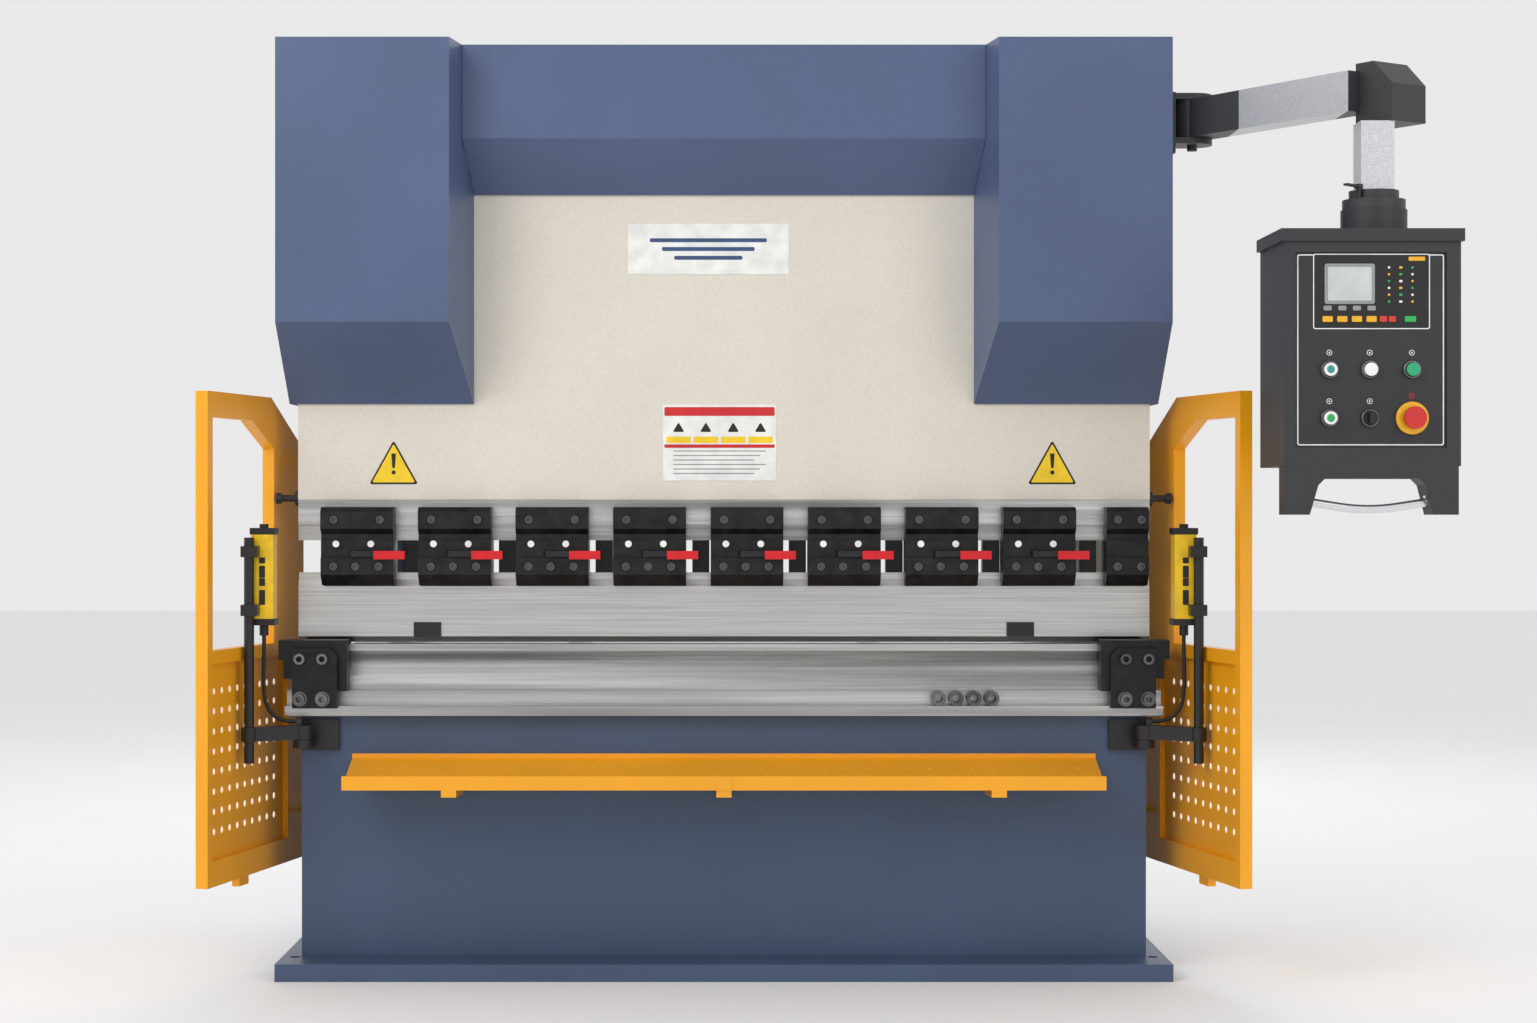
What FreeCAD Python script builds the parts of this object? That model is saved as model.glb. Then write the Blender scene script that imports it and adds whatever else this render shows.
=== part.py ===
"""A hydraulic press brake with a torsion-bar ram, quick tool clamps, side guards and a pendant control.

X runs to the right, Y to the back and Z up, in millimetres. The origin is on the floor, in the middle of
the machine, under the bending line where the punch meets the die."""
import FreeCAD, Part
import math
import os
import re
import Sketcher

Vector = FreeCAD.Vector
doc = FreeCAD.newDocument("PressBrake")
sheet = doc.addObject("Spreadsheet::Sheet", "Sizes")

SIZES = {
    # Base, bed and table. "front" sizes are distances in front of the bending line.
    "base_half": 897, "base_front": 172, "base_back": 180, "base_thick": 35,
    "foot_inner": 590, "foot_back": 720,
    "anchor_x": 870, "anchor_front": 80, "anchor_back": 660, "anchor_radius": 11,
    "bed_half": 860, "bed_front": 58, "bed_thick": 40,
    "table_half": 890, "table_reach": 90, "table_thick": 20, "table_top": 545,
    # Side frames and ties
    "frame_inner": 680, "frame_thick": 40, "frame_back": 640, "frame_upper_front": 46,
    "throat_depth": 250, "throat_top": 1000, "throat_round": 60,
    "nose_top": 1284, "barrel_seat": 1405, "barrel_back": "=barrel_radius + 12", "frame_corner": 160,
    "tie_deep": 60, "tie_high": 80, "tie_low": 120, "rib_back": 70, "rib_thick": 30,
    "beam_front": 110, "beam_back": 150, "beam_low": 1700,
    # Lower tooling
    "rail_reach": 60, "rail_thick": 30, "die_half": 764, "die_reach": 46.5, "die_high": 93.4,
    "die_v": 10, "die_v_deep": 14, "die_land": 14, "die_notch": 28, "die_notch_low": 66, "die_notch_in": 24,
    "die_back_v": 11,
    "stop_out": 903, "stop_top": 678, "stop_low": 600, "stop_back": 50, "stop_body": 873,
    "stop_plate_in": 782, "stop_plate_thick": 14, "stop_plate_low": 541, "stop_plate_top": 662,
    "stop_plate_corner": 14, "stop_screw_x": 834, "stop_screw_dx": 23, "stop_screw_z": 600.5,
    "stop_screw_dz": 40.5, "stop_head": 11, "stop_head_high": 12, "washer": 15, "washer_high": 3,
    "stud_first": 435, "stud_pitch": 36, "stud_z": "=table_top + 15", "stud_radius": 15, "stud_bore": 8, "stud_long": 34,
    # Front tray
    "tray_half": 757, "tray_front": 218, "tray_back_z": "=table_top - 99", "tray_fold_z": "=table_top - 111", "tray_floor_z": "=table_top - 158",
    "tray_lip_z": "=table_top - 130", "tray_sheet": 3, "tray_hole": 4.5, "tray_pitch": 42.5, "tray_row_front": 165,
    "tray_row_back": 115, "splice_half": 16, "tray_leg_x": 545, "tray_leg_half": 15, "tray_leg_low": "=table_top - 180",
    # Covers
    "cover_out": 889.5, "cover_in": 545, "cover_in_back": 512, "cover_front": 210, "cover_lip": 30,
    "cover_back": 150, "cover_top": 1880, "cover_knee": 1315, "cover_low": 1159, "cover_sheet": 3,
    "cover_gap": 1, "mid_front": 119, "mid_knee": 1691, "mid_low": 1587,
    # Ram, its guides and cylinders
    "ram_half": 873, "ram_reach": 25, "ram_low": 963.5, "ram_top": 1640, "ram_shelf": 1290,
    "ram_neck": 540, "guide_half": 50, "guide_gap": 0.3, "guide_low": 1010, "guide_top": 1280,
    "barrel_x": 700, "barrel_radius": 88, "bore_radius": 62, "barrel_low": 1430, "barrel_top": 1780,
    "collar_wide": 98, "pad_half": 34, "rod_radius": 45, "rod_gap": 0.05,
    "piston_gap": 0.1, "piston_low": 1440, "piston_high": 60, "rod_flange": 60, "rod_flange_high": 8,
    "stroke": 100,
    # Torsion bar that keeps both ends of the ram level
    "torsion_y": 230, "torsion_z": 1250, "torsion_drop": 50, "torsion_radius": 34, "torsion_gap": 0.3, "crank_x": 560,
    "crank_thick": 20, "crank_wide": 64, "pin_y": 84.5, "pin_radius": 12, "slot_gap": 1.6,
    "bearing_half": 55, "bearing_thick": 38, "lug_gap": 3, "lug_thick": 16, "lug_half": 26,
    # Upper tooling
    "bar_reach": 22, "bar_low": 880, "bar_step_z": 912, "bar_groove": 4,
    "clamp_pitch": 198.5, "clamp_first": -747, "clamp_half": 74, "clamp_short_half": 43,
    "clamp_top": 948, "clamp_low": 788, "punch_top": 814, "clamp_front": 70, "clamp_web": 56,
    "clamp_mid": 60, "clamp_jaw": 66, "clamp_heel": 44, "clamp_back": 20,
    "jaw_top": 845, "jaw_low": 810.5, "web_top": 893, "web_low": 881, "brow_low": 904, "brow_top": 939,
    "screw_bore": 10, "screw_head": 8.5, "screw_sunk": 6, "screw_proud": 1, "socket_radius": 5,
    "upper_screw_x": 47, "upper_screw_z": 922.5, "lower_screw_z": 827, "plug_radius": 6.8,
    "plug_left": -43, "plug_right": 28, "boss_z": 873, "boss_radius": 12.5, "boss_high": 7,
    "lever_x": -6, "lever_y": 62, "lever_hub": 11, "lever_gap": 0.5, "lever_low": 846, "lever_high": 13.5, "lever_pin": 3,
    "lever_thick": 8, "grip_start": 36, "grip_long": 63, "grip_front": 84, "grip_back": 67.5,
    "grip_low": 842, "grip_high": 17, "wedge_gap": 12.5, "wedge_out": "=clamp_pitch - clamp_half - wedge_gap", "wedge_reach": 18, "wedge_low": 818, "wedge_top": 876,
    "punch_front": 20, "punch_neck": 12, "punch_back": 10, "punch_shoulder": 786, "punch_nose": 683,
    "punch_tip": 670.5, "tab_x": 608, "tab_half": 28, "tab_low": 683, "tab_top": 712, "tab_thick": 5,
    "end_arm_z": 966, "end_arm_reach": 921, "end_arm_radius": 7, "end_flange": 16, "end_flange_thick": 8,
    # Hydraulics behind the covers
    "tank_half": 600, "tank_front": 330, "tank_back": 620, "tank_low": 1380, "tank_high": 255,
    "tank_sheet": 5, "motor_x": -100, "motor_half": 150, "motor_y": 470, "motor_radius": 82,
    "fin_high": 12, "fin_thick": 4, "fin_count": 16, "cowl_long": 55, "bell_long": 60, "bell_radius": 58,
    "pump_long": 80, "pump_radius": 44, "foot_high": 14, "block_x": 300, "block_half": 70,
    "block_y": 460, "block_deep": 120, "block_high": 90, "coil_radius": 22, "coil_long": 60,
    "pipe_radius": 9, "pipe_bend": 40,
    # Electrical cabinet
    "cabinet_out": 880, "cabinet_front": 260, "cabinet_back": 660, "cabinet_low": 500,
    "cabinet_top": 1100, "cabinet_sheet": 3, "door_gap": 1, "door_thick": 18, "door_overlap": 0,
    "hinge_radius": 7, "switch_z": 970, "switch_y": 460, "switch_radius": 28, "switch_long": 24,
    # Back gauge
    "gauge_x": 450, "gauge_half": 30, "gauge_high": 30, "slide_half": 11, "slide_high": 15, "slide_gap": 0.4,
    "carriage_half": 35, "carriage_front": 300, "carriage_back": 380, "carriage_high": 26,
    "cross_half": 600, "cross_front": 310, "cross_back": 370, "cross_high": 58, "finger_x": 300,
    "finger_half": 22, "finger_high": 18, "finger_front": 60,
    # Side guards
    "guard_x": 899, "guard_y": 190, "guard_turn": 12.1, "guard_long": 535, "guard_low": 208,
    "guard_top": 1173, "guard_tube": 25, "guard_start": 22, "guard_cut_u": 205, "guard_cut_z": 1070,
    "guard_sheet": 2, "window_start": 190, "window_low": 668, "window_border": 26, "mid_rail_low": 641,
    "perf_start": 161, "perf_low": 312, "perf_pitch": 39.3, "perf_radius": 7,
    "knuckle_radius": 13, "knuckle_long": 34, "hinge_pin": 7, "pin_gap": 0.1, "hinge_low": 300,
    "hinge_high": 1040, "hinge_bar": 12, "hinge_bar_half": 20,
    # Light curtain on its swing arms
    "pivot_x": 850, "pivot_y": 112, "post_x": 948, "post_y": 170, "post_radius": 10, "post_low": "=table_top - 109",
    "post_top": "=table_top + 342", "arm_low": "=table_top - 65", "arm_high": 28, "arm_half": 13, "hub_radius": 20, "pivot_pin": 5,
    "foot_in": 783, "foot_low": "=table_top - 83", "foot_top": "=table_top - 66", "unit_in": 902, "unit_out": 946, "unit_front": 158,
    "unit_back": 113, "unit_low": "=table_top + 179", "unit_top": "=table_top + 348", "cap_high": 13, "cap_over": 3,
    "post_clamp_high": 22, "post_clamp_lower": "=table_top + 186", "post_clamp_upper": "=table_top + 303", "post_clamp_half": 14, "post_clamp_front": 188,
    "cable_radius": 4, "nose_low": "=table_top + 145", "nose_radius": 9, "gland_x": 862, "gland_y": 119.5, "gland_z": "=table_top - 29",
    "gland_radius": 7.5, "gland_long": 12,
    # Pendant arm and pendant
    "arm_x": 943, "arm_y": 120, "arm_turn": -56.4, "arm_long": 486, "arm_top": 1764, "arm_tall": 76,
    "arm_wide": 62, "hub_big": 40, "hub_split": 1684, "bracket_low": 1655, "bracket_half": 52,
    "bracket_thick": 12, "socket_wall": 6, "socket_long": 100, "elbow_back": 78, "elbow_out": 52,
    "elbow_half": 45, "elbow_top": 1780, "elbow_low": 1664, "elbow_cut": 46, "drop_low": 1536,
    "collar_radius": 46, "collar_low": 1519, "ring_radius": 58, "ring_split": 1500,
    "swivel_radius": 61, "box_left": 1025, "box_right": 1349, "box_front": 619, "box_back": 400, "box_wall": 4,
    "box_top": 1457, "lid_low": 1434, "lid_over": 6, "box_low": 1022, "leg_low": 933, "leg_back": 555,
    "arch_top": 999, "arch_left": 1088, "arch_left_low": 1072, "arch_right": 1284, "arch_right_low": 1298,
    "handle_radius": 8, "handle_z": 954, "handle_drop": 15, "handle_y": 590, "panel_left": 1046,
    "panel_right": 1323, "panel_low": 1056, "panel_deep": 5, "panel_thick": 3,
    "button_left": 1109, "button_mid": 1183, "button_right": 1260, "button_row": 1199,
    "stop_row": 1110, "button_radius": 12, "button_high": 9, "bezel_radius": 16, "bezel_high": 5,
    "button_travel": 4, "knob_high": 16, "stop_ring": 30, "stop_ring_high": 4, "stop_head_radius": 20,
    "stop_stem": 11, "stop_stem_high": 16, "mushroom_high": 12, "lock_x": 1175, "lock_y": 562,
    "lock_stud": 5, "lock_high": 26, "lock_arm": 44,
}

for row, name in enumerate(SIZES, 1):
    sheet.set(f"A{row}", name)
    sheet.setAlias(f"B{row}", name)
# A size written with an equals sign follows the size that it names.
for row, number in enumerate(SIZES.values(), 1):
    sheet.set(f"B{row}", str(number))
doc.recompute()

NODES = {}
TURNS = {
    "x": FreeCAD.Rotation(Vector(0, 1, 0), 90),
    "y": FreeCAD.Rotation(Vector(1, 0, 0), -90),
    "z": FreeCAD.Rotation(),
}
ACROSS = {"YZ": "x", "XZ": "y", "XY": "z"}


def bound(text):
    """The expression with each size written as a reference to its cell."""
    return re.sub(r"[a-z][a-z_0-9]*", lambda m: "Sizes." + m[0] if m[0] in SIZES else m[0], str(text))


def value(text):
    """What an expression of sizes is worth now."""
    found = sheet.evalExpression(bound(text))
    return float(getattr(found, "Value", found))


def box(name, x, y, z):
    """A block between two limits on each axis."""
    solid = doc.addObject("Part::Box", name)
    for side, axis, (low, high) in (("Length", "x", x), ("Width", "y", y), ("Height", "z", z)):
        solid.setExpression(side, bound(f"({high}) - ({low})"))
        solid.setExpression(f"Placement.Base.{axis}", bound(low))
    return solid


def rod(name, axis, radius, x, y, z):
    """A cylinder along one axis, whose place on that axis is a pair of limits."""
    solid = doc.addObject("Part::Cylinder", name)
    solid.Placement = FreeCAD.Placement(Vector(), TURNS[axis])
    solid.setExpression("Radius", bound(radius))
    for letter, place in (("x", x), ("y", y), ("z", z)):
        if letter == axis:
            solid.setExpression("Height", bound(f"({place[1]}) - ({place[0]})"))
            place = place[0]
        solid.setExpression(f"Placement.Base.{letter}", bound(place))
    return solid


def prism(name, plane, outline, low, high):
    """A body padded between two limits from a closed outline in one of the origin planes."""
    body = doc.addObject("PartDesign::Body", name)
    sketch = body.newObject("Sketcher::SketchObject", name + "_outline")
    support = [p for p in body.Origin.OriginFeatures if p.Role == plane + "_Plane"][0]
    sketch.AttachmentSupport = [(support, "")]
    sketch.MapMode = "FlatFace"
    corners = [Vector(value(u), value(v), 0) for u, v in outline]
    count = len(outline)
    for i in range(count):
        sketch.addGeometry(Part.LineSegment(corners[i], corners[(i + 1) % count]))
    for i in range(count):
        sketch.addConstraint(Sketcher.Constraint("Coincident", i, 2, (i + 1) % count, 1))
    for i, (u, v) in enumerate(outline):
        for kind, text in (("DistanceX", u), ("DistanceY", v)):
            index = sketch.addConstraint(Sketcher.Constraint(kind, -1, 1, i, 1, value(text)))
            sketch.setExpression(f"Constraints[{index}]", bound(text))
    pad = body.newObject("PartDesign::Pad", name + "_pad")
    pad.Profile = sketch
    pad.setExpression("Length", bound(f"({high}) - ({low})"))
    pad.Reversed = plane == "XZ"
    body.setExpression(f"Placement.Base.{ACROSS[plane]}", bound(low))
    return body


def cut(name, base, *tools):
    """What is left of base without the tools."""
    result = doc.addObject("Part::Cut", name)
    result.Base = base
    result.Tool = tools[0] if len(tools) == 1 else compound(name + "_tools", *tools)
    return result


def fuse(name, *pieces):
    result = doc.addObject("Part::MultiFuse", name)
    result.Shapes = list(pieces)
    return result


def common(name, one, other):
    result = doc.addObject("Part::Common", name)
    result.Base = one
    result.Tool = other
    return result


def compound(name, *pieces):
    result = doc.addObject("Part::Compound", name)
    result.Links = list(pieces)
    return result


def mirrored(name, source):
    """The same piece on the other side of the machine."""
    result = doc.addObject("Part::Mirroring", name)
    result.Source = source
    result.Normal = Vector(1, 0, 0)
    return result


def both_sides(name, source):
    return [source, mirrored(name + "_other", source)]


def moved(name, source, x=0, y=0, z=0):
    """A copy of a piece, set off from it along the axes."""
    copy = doc.addObject("App::Link", name)
    copy.LinkedObject = source
    copy.LinkTransform = True
    for letter, place in (("x", x), ("y", y), ("z", z)):
        copy.setExpression(f"Placement.Base.{letter}", bound(place))
    return copy


def rounded(name, base, radius, pick):
    """The piece with a fillet on each edge that pick(middle, direction) chooses."""
    doc.recompute()
    chosen = []
    size = value(radius)
    for i, edge in enumerate(base.Shape.Edges, 1):
        if edge.Curve.TypeId != "Part::GeomLine":
            continue
        middle = edge.valueAt((edge.FirstParameter + edge.LastParameter) / 2)
        direction = edge.tangentAt(edge.FirstParameter)
        if pick(middle, direction):
            chosen.append((i, size, size))
    result = doc.addObject("Part::Fillet", name)
    result.Base = base
    result.Edges = chosen
    return result


def along(direction, axis):
    return abs(getattr(direction, axis)) > 0.999


def shaped(name, shape):
    """A feature whose shape is worked out from the sheet by this script."""
    result = doc.addObject("Part::Feature", name)
    result.Shape = shape
    return result


def node(label, *pieces):
    """Names a finished sub-part, one solid or a group of them, for its own file."""
    result = pieces[0] if len(pieces) == 1 else compound(label, *pieces)
    result.Label = label
    NODES[label] = result
    return result


def socket_head(name, radius, proud, sunk, x, face, z):
    """A cylinder head whose hexagon socket opens to the front. face is the surface it is let into."""
    head = rod(name + "_head", "y", radius, x, (f"-({face}) - ({proud})", f"-({face}) + ({sunk})"), z)
    key = doc.addObject("Part::Prism", name + "_key")
    key.Polygon = 6
    key.setExpression("Circumradius", bound(f"({radius}) * 0.6"))
    key.setExpression("Height", bound(f"({proud}) + ({sunk}) * 0.6"))
    key.Placement = FreeCAD.Placement(Vector(), TURNS["y"])
    for letter, place in (("x", x), ("y", f"-({face}) - ({proud})"), ("z", z)):
        key.setExpression(f"Placement.Base.{letter}", bound(place))
    return cut(name, head, key)


def tube_along(points, radius, bend=None):
    """A round tube along straight runs joined by arcs, and the smallest arc's radius. With no bend
    given, each arc is as large as its two runs allow."""
    arcs = []
    for before, corner, after in zip(points, points[1:], points[2:]):
        back = (before - corner).normalize()
        ahead = (after - corner).normalize()
        turn = math.pi - back.getAngle(ahead)
        runs = min((before - corner).Length, (after - corner).Length)
        size = bend or 0.45 * runs / math.tan(turn / 2)
        reach = size * math.tan(turn / 2)
        start = corner + back * reach
        end = corner + ahead * reach
        centre = corner + (back + ahead).normalize() * (size / math.cos(turn / 2))
        middle = centre + (corner - centre).normalize() * size
        arcs.append((start, middle, end, size))
    edges = []
    here = points[0]
    for start, middle, end, _ in arcs:
        edges.append(Part.LineSegment(here, start).toShape())
        edges.append(Part.Arc(start, middle, end).toShape())
        here = end
    edges.append(Part.LineSegment(here, points[-1]).toShape())
    wire = Part.Wire(edges)
    first = (points[1] - points[0]).normalize()
    ring = Part.Wire([Part.makeCircle(radius, points[0], first)])
    tube = wire.makePipeShell([ring], True, True)
    expected = math.pi * radius ** 2 * wire.Length
    if abs(tube.Volume - expected) > 0.01 * expected:
        raise ValueError("a tube's volume isn't its section times its length")
    return tube, min([a[3] for a in arcs] or [0]), wire.Length


def make_base():
    plan = [
        ("-base_half", "-base_front"), ("base_half", "-base_front"), ("base_half", "foot_back"),
        ("foot_inner", "foot_back"), ("foot_inner", "base_back"), ("-foot_inner", "base_back"),
        ("-foot_inner", "foot_back"), ("-base_half", "foot_back"),
    ]
    plate = prism("base_plan", "XY", plan, "0", "base_thick")
    holes = [
        rod(f"anchor_hole_{x}_{y}", "z", "anchor_radius", x, y, ("-1", "base_thick + 1"))
        for x in ("-anchor_x", "anchor_x") for y in ("-anchor_front", "anchor_back")
    ]
    node("base_plates", cut("base_drilled", plate, *holes))


def make_side_frames():
    outline = [
        ("bed_thick - bed_front", "base_thick"), ("frame_back", "base_thick"),
        ("frame_back", "cover_top - cover_sheet - frame_corner"),
        ("frame_back - frame_corner", "cover_top - cover_sheet"),
        ("barrel_back", "cover_top - cover_sheet"), ("barrel_back", "nose_top"),
        ("frame_upper_front", "nose_top"), ("frame_upper_front", "throat_top"),
        ("throat_depth", "throat_top"), ("throat_depth", "table_top - table_thick"),
        ("bed_thick - bed_front", "table_top - table_thick"),
    ]
    plate = prism("frame_plate", "YZ", outline, "frame_inner", "frame_inner + frame_thick")
    depth = value("throat_depth")
    eased = rounded("frame_eased", plate, "throat_round", lambda m, d: along(d, "x") and abs(m.y - depth) < 1)
    node("side_frames", *both_sides("frame_eased", eased))


def make_bed():
    front = box("bed_front_plate", ("-bed_half", "bed_half"), ("-bed_front", "bed_thick - bed_front"),
                ("base_thick", "table_top - table_thick"))
    ribs = [
        box(f"bed_rib_{i}", (f"{x} - rib_thick / 2", f"{x} + rib_thick / 2"),
            ("bed_thick - bed_front", "rib_back"), ("base_thick", "table_top - table_thick"))
        for i, x in enumerate(("-frame_inner / 2", "0", "frame_inner / 2"))
    ]
    node("bed_plate", fuse("bed_ribbed", front, *ribs))
    node("table_plate", box("table", ("-table_half", "table_half"), ("-table_reach", "table_reach"),
                            ("table_top - table_thick", "table_top")))
    node("die_rail", box("rail", ("-table_half", "table_half"), ("-rail_reach", "rail_reach"),
                         ("table_top", "table_top + rail_thick")))


def make_cross_ties():
    across = ("-frame_inner", "frame_inner")
    under_tank = ("tank_low - tie_high", "tank_low")
    node(
        "cross_ties",
        box("upper_beam", across, ("beam_front", "beam_back"), ("beam_low", "cover_top - cover_sheet")),
        box("gauge_tie", across, ("frame_back - tie_deep", "frame_back"), ("table_top - tie_high", "table_top")),
        box("low_tie", across, ("frame_back - tie_deep", "frame_back"), ("tie_low", "tie_low + tie_high")),
        box("tank_tie_front", across, ("tank_front + 30", "tank_front + 30 + tie_deep"), under_tank),
        box("tank_tie_back", across, ("tank_back - 30 - tie_deep", "tank_back - 30"), under_tank),
    )


def make_lower_tooling():
    low = "(table_top + rail_thick)"
    top = "(table_top + rail_thick + die_high)"
    outline = [
        ("-die_reach", low), ("-die_back_v", low), ("0", low + " + die_back_v"), ("die_back_v", low),
        ("die_reach", low), ("die_reach", low + " + die_high / 2 - die_back_v"),
        ("die_reach - die_back_v", low + " + die_high / 2"),
        ("die_reach", low + " + die_high / 2 + die_back_v"), ("die_reach", top), ("die_v", top),
        ("0", top + " - die_v_deep"), ("-die_v", top), ("-die_reach", top),
        ("-die_reach", top + " - die_land"), ("die_notch_in - die_reach", top + " - die_notch"),
        ("-die_reach", top + " - die_notch_low"),
    ]
    node("four_way_die", prism("die", "YZ", outline, "-die_half", "die_half"))

    plan = [
        ("stop_plate_in", "stop_plate_low"), ("stop_body", "stop_plate_low"), ("stop_body", "stop_plate_top"),
        ("stop_plate_in + stop_plate_corner", "stop_plate_top"),
        ("stop_plate_in", "stop_plate_top - stop_plate_corner"),
    ]
    plate = prism("stop_plate", "XZ", plan, "-table_reach - stop_plate_thick", "-table_reach")
    plate.setExpression("Placement.Base.y", bound("-table_reach - stop_plate_thick"))
    nose_back = "-punch_front - 4"
    pieces = [
        plate,
        box("stop_seat", ("die_half", "stop_body - 14"), ("-rail_reach", "stop_back"),
            (low, "table_top + rail_thick + die_high - 4")),
        box("stop_nose", ("die_half", "stop_body - 14"), ("-table_reach", nose_back), (low, "stop_top")),
        box("stop_ear_upper", ("stop_body - 14", "stop_out"), ("-table_reach", nose_back),
            ("(stop_top + stop_low) / 2", "stop_top")),
        box("stop_ear_lower", ("stop_body - 14", "stop_out - 10"), ("-table_reach", nose_back),
            ("stop_low", "(stop_top + stop_low) / 2")),
    ]
    node("die_end_brackets", *both_sides("stop", fuse("stop", *pieces)))

    face = "table_reach + stop_plate_thick"
    screws = []
    for i, (across, up) in enumerate(((-1, 1), (1, 1), (-1, -1), (1, -1))):
        x = f"stop_screw_x + {across} * stop_screw_dx"
        z = f"stop_screw_z + {up} * stop_screw_dz"
        lift = "washer_high" if up < 0 else "0"
        screws.append(socket_head(f"stop_screw_{i}", "stop_head", f"{lift} + stop_head_high", f"-({lift})",
                                  x, face, z))
        if up < 0:
            screws.append(rod(f"stop_washer_{i}", "y", "washer", x,
                              (f"-({face}) - washer_high", f"-({face})"), z))
    studs = [
        socket_head(f"stud_{i}", "stud_radius", "stud_long", "0", f"stud_first + {i} * stud_pitch",
                    "rail_reach", "stud_z")
        for i in range(4)
    ]
    node("table_screws", *both_sides("stop_screws", compound("stop_screws", *screws)), *studs)


def make_tray():
    outline = [
        ("-bed_front", "tray_back_z"), ("-bed_front - tray_sheet", "tray_back_z"),
        ("-bed_front - tray_sheet", "tray_fold_z + tray_sheet"),
        ("tray_sheet - tray_front", "tray_floor_z + tray_sheet"), ("tray_sheet - tray_front", "tray_lip_z"),
        ("-tray_front", "tray_lip_z"), ("-tray_front", "tray_floor_z"), ("-bed_front", "tray_fold_z"),
    ]
    sheet_metal = prism("tray_fold", "YZ", outline, "-tray_half", "tray_half")
    count = 34
    holes = []
    for row, (y, shift) in enumerate((("-tray_row_front", 0), ("-tray_row_back", 0.5))):
        for i in range(count):
            step = i - (count - 1) / 2 + shift - 0.25
            holes.append(rod(f"tray_hole_{row}_{i}", "z", "tray_hole", f"{step} * tray_pitch", y,
                             ("tray_floor_z - 1", "tray_fold_z + 1")))
    leg = [
        ("-bed_front", "tray_fold_z"), ("-tray_front", "tray_floor_z"), ("-tray_front", "tray_leg_low + 8"),
        ("-bed_front", "tray_leg_low"),
    ]
    legs = [
        prism(f"tray_leg_{i}", "YZ", leg, f"{side} * tray_leg_x - tray_leg_half",
              f"{side} * tray_leg_x + tray_leg_half")
        for i, side in enumerate((-1, 0, 1))
    ]
    splice = box("tray_splice", ("-splice_half", "splice_half"), ("-tray_front - 2", "-tray_front"),
                 ("tray_floor_z", "tray_lip_z"))
    node("front_tray", cut("tray_drilled", sheet_metal, *holes), splice, *legs)


def make_covers():
    back = "cover_back + 10"
    side = [
        ("-cover_front", "cover_top"), ("-cover_front", "cover_knee"), ("-cover_lip", "cover_low"),
        ("cover_back", "cover_low"), ("cover_back", "cover_top"),
    ]
    plan = [
        ("cover_in", "-cover_front"), ("cover_out", "-cover_front"), ("cover_out", "cover_back"),
        ("cover_in_back", "cover_back"), ("cover_in_back", "-cover_lip"),
    ]
    inside_side = [
        ("cover_sheet - cover_front", "cover_top - cover_sheet"),
        ("cover_sheet - cover_front", "cover_knee + cover_sheet / 2"),
        ("-cover_lip", "cover_low + cover_sheet * 1.33"), ("-cover_lip", "cover_low - 60"),
        (back, "cover_low - 60"), (back, "cover_top - cover_sheet"),
    ]
    inside_plan = [
        ("cover_in + cover_sheet", "cover_sheet - cover_front"),
        ("cover_out - cover_sheet", "cover_sheet - cover_front"), ("cover_out - cover_sheet", back),
        ("cover_in_back - 20", back), ("cover_in_back - 20", "-cover_lip"),
        ("cover_in_back + cover_sheet", "-cover_lip"),
    ]
    outer = common("cover_outer", prism("cover_side", "YZ", side, "cover_in_back - 10", "cover_out + 10"),
                   prism("cover_plan", "XY", plan, "cover_low - 10", "cover_top + 10"))
    inner = common("cover_inner",
                   prism("cover_inner_side", "YZ", inside_side, "cover_in_back - 30", "cover_out + 10"),
                   prism("cover_inner_plan", "XY", inside_plan, "cover_low - 80", "cover_top + 10"))
    node("cylinder_covers", *both_sides("cover", cut("cover", outer, inner)))

    slant = "(cover_in - cover_in_back) / (cover_front - cover_lip)"
    front_half = f"(cover_in - (cover_front - mid_front) * {slant} - cover_gap)"
    back_half = "(cover_in_back - cover_gap)"
    bent = [
        ("cover_back", "cover_top"), ("-mid_front", "cover_top"), ("-mid_front", "mid_knee"),
        ("-cover_lip", "mid_low"), ("-cover_lip", "mid_low + cover_sheet * 1.5"),
        ("cover_sheet - mid_front", "mid_knee + cover_sheet * 0.7"),
        ("cover_sheet - mid_front", "cover_top - cover_sheet"), ("cover_back", "cover_top - cover_sheet"),
    ]
    mid_plan = [
        (f"-{front_half}", "-mid_front"), (front_half, "-mid_front"), (back_half, "-cover_lip"),
        (back_half, "cover_back"), (f"-{back_half}", "cover_back"), (f"-{back_half}", "-cover_lip"),
    ]
    node("centre_cover", common("mid_cover", prism("mid_bent", "YZ", bent, "-cover_in", "cover_in"),
                                prism("mid_plan", "XY", mid_plan, "mid_low - 10", "cover_top + 10")))


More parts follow.
